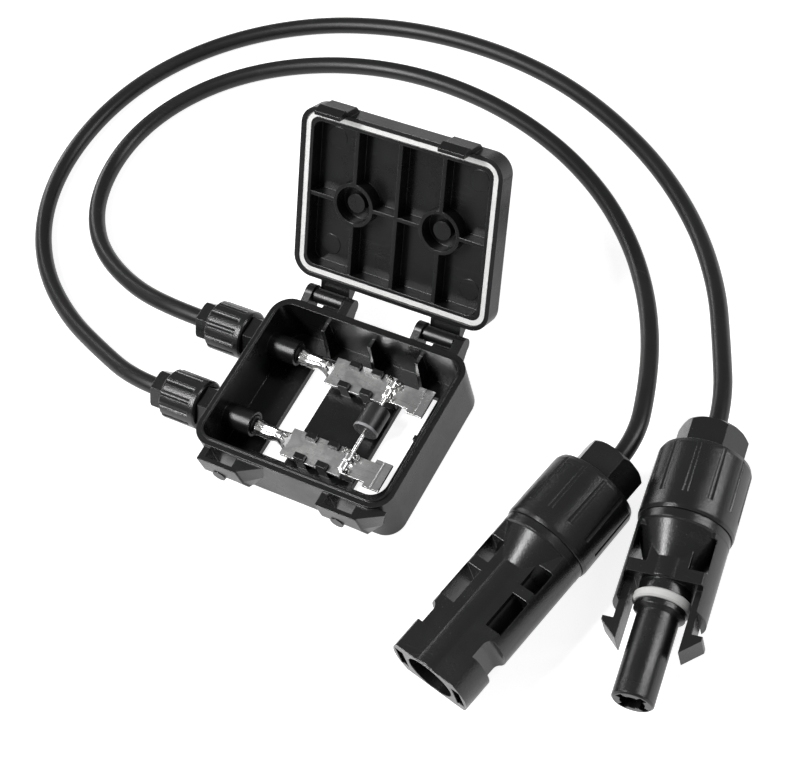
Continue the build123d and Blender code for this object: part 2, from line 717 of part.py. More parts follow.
with BuildPart() as lid:
    with BuildSketch(LID.offset(LID_RIM)):
        RectangleRounded(CASE_LENGTH, CASE_WIDTH, LID_CORNER)
    extrude(amount=LID_DEPTH)
    lid_top = lid.faces().sort_by(Axis(LID.origin, LID.z_dir))[-1]
    fillet(lid_top.edges(), radius=LID_EDGE_ROUND)
    with BuildSketch(LID.offset(LID_RIM)):
        RectangleRounded(
            CASE_LENGTH - 2 * GROOVE_OUT, CASE_WIDTH - 2 * GROOVE_OUT, LID_CORNER - GROOVE_OUT
        )
    extrude(amount=INNER_WALL_LIFT, mode=Mode.SUBTRACT)
    with BuildSketch(LID.offset(LID_RIM)):
        ring_outline(RIM_WALL, GROOVE_OUT, CASE_LENGTH, CASE_WIDTH, LID_CORNER)
    extrude(amount=GROOVE_FLOOR - LID_RIM, mode=Mode.SUBTRACT)
    with BuildSketch(LID.offset(LID_RIM)):
        RectangleRounded(
            CASE_LENGTH - 2 * INNER_WALL_OUT, CASE_WIDTH - 2 * INNER_WALL_OUT, LID_CORNER - GROOVE_OUT
        )
    extrude(amount=CAVITY_TOP - LID_RIM, mode=Mode.SUBTRACT)

    rib_height = CAVITY_TOP - LID_RIM - LID_RIB_LIFT
    with BuildSketch(LID.offset(LID_RIM + LID_RIB_LIFT)):
        for rib_x in (-LID_RIB_PITCH, 0.0, LID_RIB_PITCH):
            with Locations((rib_x, 0)):
                Rectangle(LID_RIB_THICKNESS, CASE_WIDTH - 2 * GROOVE_OUT - 1.0)
        with Locations((0, CROSS_RIB_Y)):
            Rectangle(CASE_LENGTH - 2 * GROOVE_OUT - 1.0, LID_RIB_THICKNESS)
        for ring_x in (-LID_RIB_PITCH, LID_RIB_PITCH):
            with Locations((ring_x, CROSS_RIB_Y)):
                Circle(RING_RADIUS)
    extrude(amount=rib_height + LID_PLATE / 2)
    with BuildSketch(LID.offset(LID_RIM + LID_RIB_LIFT)):
        for ring_x in (-LID_RIB_PITCH, LID_RIB_PITCH):
            with Locations((ring_x, CROSS_RIB_Y)):
                Circle(RING_BORE)
    extrude(amount=rib_height, mode=Mode.SUBTRACT)
    with BuildSketch(LID.offset(LID_RIM + STUB_LIFT)):
        for ring_x in (-LID_RIB_PITCH, LID_RIB_PITCH):
            with Locations((ring_x, CROSS_RIB_Y)):
                Circle(STUB_RADIUS)
    extrude(amount=CAVITY_TOP - LID_RIM - STUB_LIFT + LID_PLATE / 2)
    with BuildSketch(LID.offset(CAVITY_TOP - EJECTOR_RAISE)):
        with GridLocations(
            CASE_LENGTH - 2 * EJECTOR_FROM_ENDS, CASE_WIDTH - 2 * EJECTOR_FROM_SIDES, 2, 2
        ):
            Circle(EJECTOR_RADIUS)
    extrude(amount=LID_PLATE / 2)

    for hinge_x in HINGE_X:
        lid_eye(hinge_x)
    for latch_x in LATCH_X:
        lid_tongue(latch_x)
save(lid, "lid")

with BuildPart() as gasket:
    with BuildSketch(LID.offset(GASKET_FACE)):
        ring_outline(
            RIM_WALL + FIT_CLEARANCE, GROOVE_OUT - FIT_CLEARANCE, CASE_LENGTH, CASE_WIDTH, LID_CORNER
        )
    extrude(amount=GROOVE_FLOOR - GASKET_FACE)
save(gasket, "lid_gasket")


# Terminal strips and diode


def terminal_strip(y):
    """One tinned strip: plate with notches, end pad, curled tabs and crimp barrel."""
    with BuildPart() as strip:
        with BuildSketch(Plane.XY.offset(STRIP_BOTTOM)):
            with Locations(((STRIP_START + DIODE_X) / 2, y)):
                Rectangle(DIODE_X - STRIP_START, STRIP_WIDTH)
            for x in NOTCH_X:
                for side in (-1, 1):
                    with Locations((x, y + side * (STRIP_WIDTH - NOTCH_DEPTH) / 2)):
                        Rectangle(NOTCH_LENGTH, NOTCH_DEPTH, mode=Mode.SUBTRACT)
            with Locations(((DIODE_X + STRIP_PAD_START) / 2, y)):
                Rectangle(STRIP_NECK_LENGTH + 1.0, STRIP_WIDTH - 2 * STRIP_NECK_INSET)
            with Locations(((STRIP_PAD_START + STRIP_END) / 2, y)):
                Rectangle(STRIP_PAD_LENGTH, STRIP_WIDTH)
            with Locations((STRIP_START - 1.0, y)):
                Rectangle(3.0, 3.0)
        extrude(amount=STRIP_THICKNESS)
        with BuildSketch(Plane.YZ.offset(CRIMP_START)):
            with Locations((y, CRIMP_AXIS)):
                Circle(CRIMP_RADIUS)
        extrude(amount=STRIP_START - 1.0 - CRIMP_START)
        with BuildSketch(Plane.XZ.offset(-y - CRIMP_RADIUS)):
            with BuildLine():
                Polyline(
                    (STRIP_START - 2.4, STRIP_BOTTOM),
                    (STRIP_START + 0.6, STRIP_BOTTOM),
                    (STRIP_START + 0.6, STRIP_TOP),
                    (STRIP_START - 1.0, CRIMP_AXIS + 0.4),
                    (STRIP_START - 2.4, CRIMP_AXIS + 0.4),
                    close=True,
                )
            make_face()
        extrude(amount=2 * CRIMP_RADIUS)
        with BuildSketch(Plane.YZ.offset(CRIMP_START)):
            with Locations((y, CRIMP_AXIS)):
                Circle(CRIMP_RADIUS - CRIMP_WALL)
        extrude(amount=STRIP_START - 1.6 - CRIMP_START, mode=Mode.SUBTRACT)
        with BuildSketch(Plane.YZ.offset(CRIMP_START)):
            with Locations((y, CRIMP_AXIS + CRIMP_RADIUS)):
                Rectangle(0.5, 2 * CRIMP_RADIUS - 1.6)
        extrude(amount=4.6, mode=Mode.SUBTRACT)
        for start, turn in ((0.4, 1), (-0.4 - TAB_WIDTH, -1)):
            with BuildSketch(Plane.XZ.offset(-y - start - TAB_WIDTH)):
                with Locations((DIODE_X, LEAD_AXIS)):
                    Circle(TAB_RADIUS)
                    Circle(LEAD_RADIUS + FIT_CLEARANCE, mode=Mode.SUBTRACT)
                with Locations((DIODE_X + turn * TAB_RADIUS, LEAD_AXIS)):
                    Rectangle(TAB_RADIUS, 0.5, mode=Mode.SUBTRACT)
            extrude(amount=TAB_WIDTH)
        with BuildSketch(Plane.XY.offset(STRIP_BOTTOM)):
            with Locations((DIODE_X, y)):
                Rectangle(2 * TAB_RADIUS, 2 * TAB_WIDTH + 0.8)
        extrude(amount=STRIP_THICKNESS)
        with BuildSketch(Plane.XZ.offset(-y - STRIP_WIDTH / 2)):
            with Locations((DIODE_X, LEAD_AXIS)):
                Circle(LEAD_RADIUS + FIT_CLEARANCE)
        extrude(amount=STRIP_WIDTH, mode=Mode.SUBTRACT)
    return strip


for side, entry_y in ENTRY_Y.items():
    save(terminal_strip(entry_y), f"terminal_{side}")

with BuildPart() as diode:
    with BuildSketch(Plane.XZ.offset(-DIODE_REAR)):
        with Locations((DIODE_X, LEAD_AXIS)):
            Circle(DIODE_RADIUS)
    extrude(amount=DIODE_REAR - DIODE_FRONT)
    fillet(diode.edges().filter_by(GeomType.CIRCLE), radius=DIODE_ROUND)
save(diode, "diode_body")

for side, body_end, inward in (("rear", DIODE_REAR, -1), ("front", DIODE_FRONT, 1)):
    lead_end = ENTRY_Y[side] - inward * LEAD_REACH
    low_y = min(body_end, lead_end)
    high_y = max(body_end, lead_end)
    with BuildPart() as lead:
        with BuildSketch(Plane.XZ.offset(-high_y)):
            with Locations((DIODE_X, LEAD_AXIS)):
                Circle(LEAD_RADIUS)
        extrude(amount=high_y - low_y)
    save(lead, f"diode_lead_{side}")


# Cable ends inside the case

for side, frame in ENTRY.items():
    with BuildPart() as tail:
        with BuildSketch(across_x(frame, -JACKET_END)):
            Circle(CABLE_DIAMETER / 2)
        extrude(amount=JACKET_END + GLAND_NUT_END)
    save(tail, f"cable_end_{side}")

    strand_radius = CRIMP_RADIUS - CRIMP_WALL - FIT_CLEARANCE
    with BuildPart() as strands:
        with BuildSketch(Plane.YZ.offset(NEAR_END + JACKET_END)):
            with Locations((ENTRY_Y[side], ENTRY_HEIGHT)):
                Circle(strand_radius)
        with BuildSketch(Plane.YZ.offset(CRIMP_START)):
            with Locations((ENTRY_Y[side], CRIMP_AXIS)):
                Circle(strand_radius)
        loft(ruled=True)
        with BuildSketch(Plane.YZ.offset(CRIMP_START)):
            with Locations((ENTRY_Y[side], CRIMP_AXIS)):
                Circle(strand_radius)
        extrude(amount=STRIP_START - 1.9 - CRIMP_START)
    save(strands, f"conductor_{side}")


# Screw entries: a nut that squeezes a slotted cage and a rubber bush on the cable


def clamp_nut(frame, outline, hex_start, hex_length, flats, flutes):
    """A nut turned from its outline, with a hexagon at its cable end and grooves round it."""
    flute_count, flute_radius, flute_centre, flute_from, flute_to = flutes
    with BuildPart() as nut:
        turned(frame, outline)
        with BuildSketch(across_x(frame, flute_from)):
            with PolarLocations(flute_centre, flute_count):
                Circle(flute_radius)
        extrude(amount=flute_to - flute_from, mode=Mode.SUBTRACT)
        with BuildSketch(across_x(frame, hex_start)):
            Circle(2 * flats)
            RegularPolygon(flats / 2, 6, major_radius=False, mode=Mode.SUBTRACT)
        extrude(amount=hex_length, mode=Mode.SUBTRACT)
    return nut


def clamp_cage(frame, outline, slot_from, slot_to, slot_reach):
    """The slotted cage between the thread and the nut."""
    with BuildPart() as cage:
        turned(frame, outline)
        with BuildSketch(across_x(frame, slot_from)):
            with PolarLocations(slot_reach / 2, 6):
                Rectangle(slot_reach, 0.7)
        extrude(amount=slot_to - slot_from, mode=Mode.SUBTRACT)
    return cage


def bush(frame, start, end, outer):
    """A rubber bush round the cable."""
    inner = CABLE_DIAMETER / 2 + FIT_CLEARANCE
    with BuildPart() as seal:
        turned(frame, [(start, inner), (end, inner), (end, outer), (start, outer)])
    return seal


GLAND_HEX_RADIUS = GLAND_NUT_FLATS / 2 / cos(pi / 6)
GLAND_NUT_OUTLINE = [
    (GLAND_NUT_START, GLAND_NUT_BORE),
    (GLAND_THREAD_END + 1.6, GLAND_NUT_BORE),
    (GLAND_NUT_SHOULDER + 0.6, CABLE_HOLE + 1.0),
    (GLAND_NUT_SHOULDER + 0.9, CABLE_HOLE),
    (GLAND_NUT_END, CABLE_HOLE),
    (GLAND_NUT_END, GLAND_HEX_RADIUS - HEX_ROUND),
    (GLAND_NUT_END - HEX_ROUND, GLAND_HEX_RADIUS),
    (GLAND_NUT_SHOULDER, GLAND_HEX_RADIUS),
    (GLAND_NUT_SHOULDER - 0.1, GLAND_NUT_RADIUS - 0.9),
    (GLAND_NUT_SHOULDER - 1.0, GLAND_NUT_RADIUS),
    (GLAND_NUT_START + 0.5, GLAND_NUT_RADIUS),
    (GLAND_NUT_START, GLAND_NUT_RADIUS - 0.5),
]
GLAND_CAGE_OUTLINE = [
    (GLAND_SOCKET_START + 2.0, GLAND_CAGE_BORE),
    (GLAND_THREAD_END + GLAND_FINGERS, GLAND_CAGE_BORE),
    (GLAND_THREAD_END + GLAND_FINGERS, GLAND_CAGE_RADIUS - 0.45),
    (GLAND_THREAD_END + 1.2, GLAND_CAGE_RADIUS),
    (GLAND_THREAD_END + 1.0, GLAND_THREAD_RADIUS - 0.3),
    (GLAND_THREAD_END + 0.02, GLAND_THREAD_RADIUS - 0.3),
    (GLAND_THREAD_END + 0.02, GLAND_CAGE_RADIUS),
    (GLAND_SOCKET_START + 2.0, GLAND_CAGE_RADIUS),
]

for side, frame in ENTRY.items():
    flutes = (12, 0.95, GLAND_NUT_RADIUS + 0.35, GLAND_NUT_START + 2.2, GLAND_NUT_SHOULDER + 0.05)
    nut = clamp_nut(
        frame,
        GLAND_NUT_OUTLINE,
        GLAND_NUT_SHOULDER,
        GLAND_HEX_LENGTH,
        GLAND_NUT_FLATS,
        flutes,
    )
    save(nut, f"gland_nut_{side}")
    cage = clamp_cage(
        frame,
        GLAND_CAGE_OUTLINE,
        GLAND_THREAD_END + 1.4,
        GLAND_THREAD_END + GLAND_FINGERS,
        2 * GLAND_SOCKET_RADIUS,
    )
    save(cage, f"gland_cage_{side}")
    seal = bush(
        frame, GLAND_SOCKET_START + 2.6, GLAND_THREAD_END + GLAND_FINGERS - 0.4, GLAND_BUSH_RADIUS
    )
    save(seal, f"gland_bush_{side}")

HEX_RADIUS = HEX_FLATS / 2 / cos(pi / 6)
NUT_OUTLINE = [
    (HEX_START, CABLE_HOLE),
    (HEX_START, HEX_RADIUS - 1.2),
    (HEX_START + 1.2, HEX_RADIUS),
    (SHOULDER, HEX_RADIUS),
    (SHOULDER + 0.1, NUT_RADIUS - 2.0),
    (SHOULDER + 0.7, NUT_RADIUS - 0.7),
    (SHOULDER + 2.0, NUT_RADIUS - 0.2),
    (JOINT - 1.0, NUT_RADIUS),
    (JOINT, NUT_RADIUS - NUT_EDGE / 2),
    (JOINT, NUT_BORE),
    (THREAD_START - 1.8, NUT_BORE),
    (THREAD_START - 2.0, CAGE_SOCKET_RADIUS + 0.4),
    (HEX_START + 5.0, CAGE_BORE + CAGE_WALL + 0.2),
    (HEX_START + 4.0, CABLE_HOLE),
]
CAGE_OUTLINE = [
    (CAGE_START, CAGE_BORE),
    (CAGE_SOCKET_END - 2.0, CAGE_BORE),
    (CAGE_SOCKET_END - 2.0, CAGE_SOCKET_RADIUS - FIT_CLEARANCE),
    (THREAD_START - 0.02, CAGE_SOCKET_RADIUS - FIT_CLEARANCE),
    (THREAD_START - 0.02, THREAD_RADIUS - 0.5),
    (THREAD_START - 1.2, THREAD_RADIUS - 0.5),
    (THREAD_START - 1.4, CAGE_BORE + CAGE_WALL + 1.0),
    (CAGE_START, CAGE_BORE + CAGE_WALL),
]


def connector_fittings(frame, name):
    """Write a connector's nut, cage, bush and the cable's end."""
    flutes = (12, FLUTE_RADIUS, NUT_RADIUS + FLUTE_RADIUS - FLUTE_DEPTH, SHOULDER - 0.5, FLUTE_END)
    nut = clamp_nut(frame, NUT_OUTLINE, HEX_START, SHOULDER - HEX_START, HEX_FLATS, flutes)
    save(nut, f"{name}_nut")
    cage = clamp_cage(
        frame, CAGE_OUTLINE, CAGE_START, THREAD_START - 1.8, 2 * CAGE_SOCKET_RADIUS
    )
    save(cage, f"{name}_cage")
    save(bush(frame, CAGE_START + 0.4, CAGE_SOCKET_END - 4.0, BUSH_RADIUS), f"{name}_bush")
    with BuildPart() as tail:
        with BuildSketch(across_x(frame, HEX_START)):
            Circle(CABLE_DIAMETER / 2)
        extrude(amount=CAGE_SOCKET_END - HEX_START)
    save(tail, f"{name}_cable_end")


def connector_body(frame, windows, core_end, shell_end):
    """Add what both housings share: side shells, windows, collar, cone, core and thread."""
    with BuildSketch(across_x(frame, JOINT + 1.0)) as slab:
        Circle(BODY_RADIUS)
        Rectangle(2 * BODY_RADIUS, 2 * BODY_HALF_HEIGHT, mode=Mode.INTERSECT)
    extrude(slab.sketch, amount=core_end - JOINT - 1.0)
    if shell_end > core_end:
        with BuildSketch(across_x(frame, core_end - 1.0)) as shells:
            Circle(BODY_RADIUS)
            Rectangle(2 * BODY_RADIUS, 2 * BODY_HALF_HEIGHT, mode=Mode.INTERSECT)
            Rectangle(2 * WINDOW_OUTER, 2 * BODY_RADIUS, mode=Mode.SUBTRACT)
        extrude(shells.sketch, amount=shell_end - core_end + 1.0)
    window_width = WINDOW_OUTER - WINDOW_INNER
    window_lateral = (WINDOW_OUTER + WINDOW_INNER) / 2
    with BuildSketch(frame.offset(-BODY_RADIUS)) as openings:
        for start, end in windows:
            with Locations(
                ((start + end) / 2, window_lateral), ((start + end) / 2, -window_lateral)
            ):
                Rectangle(end - start, window_width)
    extrude(openings.sketch, amount=2 * BODY_RADIUS, mode=Mode.SUBTRACT)
    turned(
        frame,
        [
            (THREAD_START, 0),
            (THREAD_START, THREAD_RADIUS),
            (JOINT + 0.1, THREAD_RADIUS),
            (JOINT + 0.1, BODY_RADIUS + 0.05),
            (JOINT + 2.6, BODY_RADIUS + 0.05),
            (JOINT + 3.0, BODY_RADIUS - 0.6),
            (JOINT + CONE_LENGTH, CORE_RADIUS),
            (core_end - 0.4, CORE_RADIUS),
            (core_end - 0.4, 0),
        ],
    )


def connector_bore(frame, front_bore, front_end):
    """Cut the stepped bore: cage seat, contact seat and front bore."""
    turned(
        frame,
        [
            (THREAD_START - 1.0, 0),
            (THREAD_START - 1.0, CAGE_SOCKET_RADIUS),
            (CAGE_SOCKET_END, CAGE_SOCKET_RADIUS),
            (CAGE_SOCKET_END, CONTACT_RADIUS + FIT_CLEARANCE),
            (CONTACT_SEAT_END, CONTACT_RADIUS + FIT_CLEARANCE),
            (CONTACT_SEAT_END, front_bore),
            (front_end + 1.0, front_bore),
            (front_end + 1.0, 0),
        ],
        mode=Mode.SUBTRACT,
    )


CONTACT_ROOT = [
    (CAGE_SOCKET_END + 0.02, 0),
    (CAGE_SOCKET_END + 0.02, CONTACT_RADIUS - 0.6),
    (JOINT, CONTACT_RADIUS - 0.6),
    (JOINT, CONTACT_RADIUS),
]

# Socket connector

connector_fittings(SOCKET, "socket")

with BuildPart() as socket_housing:
    connector_body(SOCKET, SOCKET_WINDOWS, MOUTH, MOUTH)
    for side in (-1, 1):
        with BuildSketch(SOCKET.offset(-BODY_RADIUS)):
            with Locations(
                ((WAIST_START + MOUTH_BLOCK) / 2, side * (CORE_BORE + WAIST_WALL + BODY_RADIUS / 2))
            ):
                notch = Rectangle(WAIST_LENGTH, BODY_RADIUS)
            fillet(notch.vertices().group_by(Axis.X)[0], radius=WAIST_ROUND)
        extrude(amount=2 * BODY_RADIUS, mode=Mode.SUBTRACT)
        with BuildSketch(across_x(SOCKET, MOUTH_BLOCK - SLACK)):
            slot_inner = CORE_BORE + SLOT_WALL
            slot_outer = BODY_RADIUS - SLOT_TO_SIDE
            with Locations((side * (slot_inner + slot_outer) / 2, 0)):
                Rectangle(slot_outer - slot_inner, 2 * SLOT_HALF_HEIGHT)
        extrude(amount=MOUTH_LENGTH + 2 * SLACK, mode=Mode.SUBTRACT)
    connector_bore(SOCKET, CORE_BORE, MOUTH)
save(socket_housing, "socket_housing")

with BuildPart() as socket_contact:
    turned(
        SOCKET,
        CONTACT_ROOT
        + [
            (CONTACT_SEAT_END + 0.6, CONTACT_RADIUS),
            (CONTACT_SEAT_END + 1.0, PIN_CONTACT_RADIUS),
            (MOUTH - PIN_TO_MOUTH - 1.4, PIN_CONTACT_RADIUS),
            (MOUTH - PIN_TO_MOUTH, PIN_CONTACT_RADIUS / 2),
            (MOUTH - PIN_TO_MOUTH, 0),
        ],
    )
save(socket_contact, "socket_contact")


# Plug connector

connector_fittings(PLUG, "plug")

with BuildPart() as plug_housing:
    connector_body(PLUG, PLUG_WINDOWS, COLLAR_FRONT, SHELL_FRONT)
    turned(
        PLUG,
        [
            (COLLAR_FRONT - 1.0, 0),
            (COLLAR_FRONT - 1.0, SEAL_RING_SEAT + 1.0),
            (RING_START, SEAL_RING_SEAT + 1.0),
            (RING_START, SEAL_RING_SEAT),
            (RING_END, SEAL_RING_SEAT),
            (RING_END, SEAL_RING_SEAT + 0.8),
            (RING_END + 1.6, SEAL_RING_SEAT + 0.8),
            (RING_END + 2.6, PROBE_RADIUS),
            (PROBE_END - 0.5, PROBE_RADIUS),
            (PROBE_END, PROBE_RADIUS - 0.5),
            (PROBE_END, 0),
        ],
    )
    connector_bore(PLUG, PROBE_BORE, PROBE_END)
    with BuildSketch(across_x(PLUG, PROBE_END - PROBE_LOBE_DEPTH)):
        for angle in (45, 135):
            with Locations(Location((0, 0), angle)):
                Rectangle(2 * PROBE_RADIUS - 1.8, 2.2)
    extrude(amount=PROBE_LOBE_DEPTH + SLACK, mode=Mode.SUBTRACT)
    with BuildSketch(PLUG.offset(-ARM_HALF_HEIGHT)):
        for side in (-1, 1):
            with BuildLine():
                Polyline(
                    (COLLAR_FRONT - 1.0, side * ARM_INNER),
                    (ARM_TIP, side * ARM_INNER),
                    (ARM_TIP - 4.6, side * (ARM_OUTER + ARM_BARB)),
                    (ARM_TIP - 5.8, side * (ARM_OUTER + ARM_BARB)),
                    (ARM_TIP - 5.8, side * ARM_OUTER),
                    (COLLAR_FRONT - 1.0, side * ARM_OUTER),
                    close=True,
                )
            make_face()
    extrude(amount=2 * ARM_HALF_HEIGHT)
save(plug_housing, "plug_housing")

with BuildPart() as plug_contact:
    turned(
        PLUG,
        CONTACT_ROOT
        + [
            (PROBE_END - TUBE_TO_PROBE_END, CONTACT_RADIUS),
            (PROBE_END - TUBE_TO_PROBE_END, PIN_CONTACT_RADIUS + FIT_CLEARANCE),
            (CONTACT_SEAT_END + 3.0, PIN_CONTACT_RADIUS + FIT_CLEARANCE),
            (CONTACT_SEAT_END + 3.0, 0),
        ],
    )
save(plug_contact, "plug_contact")

with BuildPart() as seal_ring:
    turned(
        PLUG,
        [
            (RING_START + 0.02, SEAL_RING_SEAT + 0.02),
            (RING_START + 0.02, SEAL_RING_RADIUS - 0.5),
            (RING_START + 0.5, SEAL_RING_RADIUS),
            (RING_END - 0.5, SEAL_RING_RADIUS),
            (RING_END - 0.02, SEAL_RING_RADIUS - 0.5),
            (RING_END - 0.02, SEAL_RING_SEAT + 0.02),
        ],
    )
save(seal_ring, "plug_seal_ring")


# Cables


def cable(entry, first_run, route, frame, last_run, name):
    """Sweep one cable along its route, square on the gland nut and on the connector's nut."""
    starts = [entry.from_local_coords((GLAND_NUT_END + run, 0, 0)) for run in (0.0, first_run)]
    ends = [frame.from_local_coords((HEX_START - run, 0, 0)) for run in (last_run, 0.0)]
    points = starts + [Vector(*point) for point in route] + ends
    radii = []
    length = 0.0
    for before, corner, after in zip(points, points[1:], points[2:]):
        turn = radians((corner - before).get_angle(after - corner))
        run = min((corner - before).length, (after - corner).length)
        radii.append(ARC_SHARE * run / tan(turn / 2))
        length += radii[-1] * (turn - 2 * tan(turn / 2))
    length += sum((b - a).length for a, b in zip(points, points[1:]))
    with BuildPart() as tube:
        with BuildLine() as path:
            FilletPolyline(*points, radius=radii)
        start = path.line @ 0
        with BuildSketch(Plane(start, z_dir=path.line % 0)):
            Circle(CABLE_DIAMETER / 2)
        sweep()
    section = pi * (CABLE_DIAMETER / 2) ** 2
    print(name, "length", round(length, 1), "radii", [round(radius, 1) for radius in radii])
    print(name, "volume", round(tube.part.volume), "section by length", round(section * length))
    save(tube, name)


cable(ENTRY["rear"], REAR_GLAND_RUN, REAR_ROUTE, SOCKET, SOCKET_CABLE_RUN, "cable_rear")
cable(ENTRY["front"], FRONT_GLAND_RUN, FRONT_ROUTE, PLUG, PLUG_CABLE_RUN, "cable_front")
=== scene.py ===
# %% [markdown]
# # A solar junction box with its two cable leads
#
# This lesson dresses a junction box that was modelled in CAD: a small black case
# with a hinged lid, two tinned terminal strips with a diode between them, and two
# cables that end in a socket connector and a plug connector. The CAD solids hold
# every size that something else has to fit. Blender adds what they lack: real cable
# curves, stranded wire, folded crimps, curled tabs, and finishes that change over
# the surface.

# %% Load the CAD frame
import json
from math import cos, exp, radians, sin

import bpy
from mathutils import Matrix, Quaternion, Vector


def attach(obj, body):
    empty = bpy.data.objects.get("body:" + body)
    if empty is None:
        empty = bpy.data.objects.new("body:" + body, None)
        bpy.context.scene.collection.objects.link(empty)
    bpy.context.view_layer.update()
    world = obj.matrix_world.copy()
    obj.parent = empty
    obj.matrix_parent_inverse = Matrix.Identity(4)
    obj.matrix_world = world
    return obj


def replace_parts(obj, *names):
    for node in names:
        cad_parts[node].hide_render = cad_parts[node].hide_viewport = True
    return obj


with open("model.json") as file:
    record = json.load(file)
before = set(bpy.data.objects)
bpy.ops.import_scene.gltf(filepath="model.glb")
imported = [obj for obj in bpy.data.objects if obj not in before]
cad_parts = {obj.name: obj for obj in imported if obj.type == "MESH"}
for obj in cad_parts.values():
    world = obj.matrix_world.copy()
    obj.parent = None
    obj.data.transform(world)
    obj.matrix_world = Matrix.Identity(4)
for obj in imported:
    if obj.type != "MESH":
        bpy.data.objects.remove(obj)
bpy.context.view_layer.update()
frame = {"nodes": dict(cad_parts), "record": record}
nodes = frame["nodes"]

# %% [markdown]
# The camera comes first, because every later choice is judged through it. The
# product shot looks down at 55 degrees with a long lens, and the camera is rolled a
# little, so the case stands askew in the frame. A camera that tracks an empty would
# aim well but stay level. A turn matrix made of the camera's own right, up and
# back directions sets the roll too, without any guessing.

# %% Camera
LENS = 91.97
SENSOR_WIDTH = 36.0
AZIMUTH = radians(46.65)
ELEVATION = radians(55.09)
ROLL = radians(-21.26)
CAMERA_PLACE = Vector((0.2627, -0.2179, 0.5005))

level_right = Vector((cos(AZIMUTH), sin(AZIMUTH), 0.0))
back = Vector((sin(AZIMUTH) * cos(ELEVATION), -cos(AZIMUTH) * cos(ELEVATION), sin(ELEVATION)))
level_up = back.cross(level_right)
camera_right = cos(ROLL) * level_right + sin(ROLL) * level_up
camera_up = cos(ROLL) * level_up - sin(ROLL) * level_right

camera = bpy.data.objects.new("product_camera", bpy.data.cameras.new("product_camera"))
camera.data.lens = LENS
camera.data.sensor_width = SENSOR_WIDTH
camera.data.clip_start = 0.01
camera.data.clip_end = 10.0
turn = Matrix((camera_right, camera_up, back)).transposed().to_4x4()
camera.matrix_world = Matrix.Translation(CAMERA_PLACE) @ turn
bpy.context.scene.collection.objects.link(camera)
bpy.context.scene.camera = camera
print("camera looks along", [round(v, 3) for v in -back])

# %% [markdown]
# Every shader below is written with a few small helpers. They add a node and wire its
# inputs, do one step of arithmetic, remap a value to a new range, mix two colours,
# make noise and start a named group. The same nodes could be dragged together by
# hand, but in this form each finish reads as a short list of steps.

# %% Node helpers


def add_node(tree, kind, inputs=None, **settings):
    """Add a node; each input is a plain value or the socket that feeds it."""
    node = tree.nodes.new(kind)
    for name, value in settings.items():
        setattr(node, name, value)
    for socket, value in (inputs or {}).items():
        if isinstance(value, bpy.types.NodeSocket):
            tree.links.new(value, node.inputs[socket])
        else:
            node.inputs[socket].default_value = value
    return node


def compute(tree, operation, first, second=0.0, clamp=False):
    """One arithmetic step."""
    step = add_node(tree, "ShaderNodeMath", {0: first, 1: second}, operation=operation)
    step.use_clamp = clamp
    return step.outputs[0]


def spread(tree, value, low, high, to_low=0.0, to_high=1.0):
    """Remap a value from one range to another, and clamp it there."""
    remap = {"Value": value, "From Min": low, "From Max": high, "To Min": to_low, "To Max": to_high}
    return add_node(tree, "ShaderNodeMapRange", remap).outputs["Result"]


def blend_colours(tree, share, first, second):
    """Mix two colours by a share from 0 to 1."""
    mix = add_node(tree, "ShaderNodeMix", data_type="RGBA")
    for index, value in ((0, share), (6, first), (7, second)):
        if isinstance(value, bpy.types.NodeSocket):
            tree.links.new(value, mix.inputs[index])
        else:
            mix.inputs[index].default_value = value
    return mix.outputs[2]


def noise(tree, place, scale, detail=3.0):
    """Cloudy noise at a place, from 0 to 1."""
    values = {"Vector": place, "Scale": scale, "Detail": detail, "Roughness": 0.55}
    return add_node(tree, "ShaderNodeTexNoise", values).outputs["Fac"]


def shader_group(name, inputs, outputs):
    """A reusable shader group with named float inputs and named outputs."""
    tree = bpy.data.node_groups.new(name, "ShaderNodeTree")
    for label, value in inputs.items():
        socket = tree.interface.new_socket(label, in_out="INPUT", socket_type="NodeSocketFloat")
        socket.default_value = value
    for label, kind in outputs.items():
        tree.interface.new_socket(label, in_out="OUTPUT", socket_type=kind)
    return tree, add_node(tree, "NodeGroupInput"), add_node(tree, "NodeGroupOutput")


# %% [markdown]
# Moulded plastic never has a knife edge. The tool leaves a radius of a few tenths
# of a millimetre, and that radius catches the light as a thin bright line. A Bevel
# modifier could cut it into the mesh, but a CAD piece comes as loose triangles, which
# it can't bevel cleanly. So the first group rounds the shading normal at each edge.
# It also tells where the edges are, and a finish can be paler and smoother there,
# where hands have rubbed it.

# %% Group: rounded and rubbed edges
edges_tree, given, result = shader_group(
    "rounded edges",
    {"Edge Radius": 0.0002, "Rub Scale": 400.0},
    {"Normal": "NodeSocketVector", "Rubbed": "NodeSocketFloat"},
)
rounding = add_node(edges_tree, "ShaderNodeBevel", {"Radius": given.outputs["Edge Radius"]}, samples=8)
surface = add_node(edges_tree, "ShaderNodeNewGeometry")
place = add_node(edges_tree, "ShaderNodeTexCoord").outputs["Object"]
alike = add_node(
    edges_tree,
    "ShaderNodeVectorMath",
    {0: rounding.outputs["Normal"], 1: surface.outputs["Normal"]},
    operation="DOT_PRODUCT",
)
at_edge = spread(edges_tree, alike.outputs["Value"], 0.995, 0.80)
patches = noise(edges_tree, place, given.outputs["Rub Scale"])
rubbed = compute(edges_tree, "MULTIPLY", at_edge, spread(edges_tree, patches, 0.35, 0.62))
edges_tree.links.new(rounding.outputs["Normal"], result.inputs["Normal"])
edges_tree.links.new(rubbed, result.inputs["Rubbed"])
print("built", edges_tree.name)

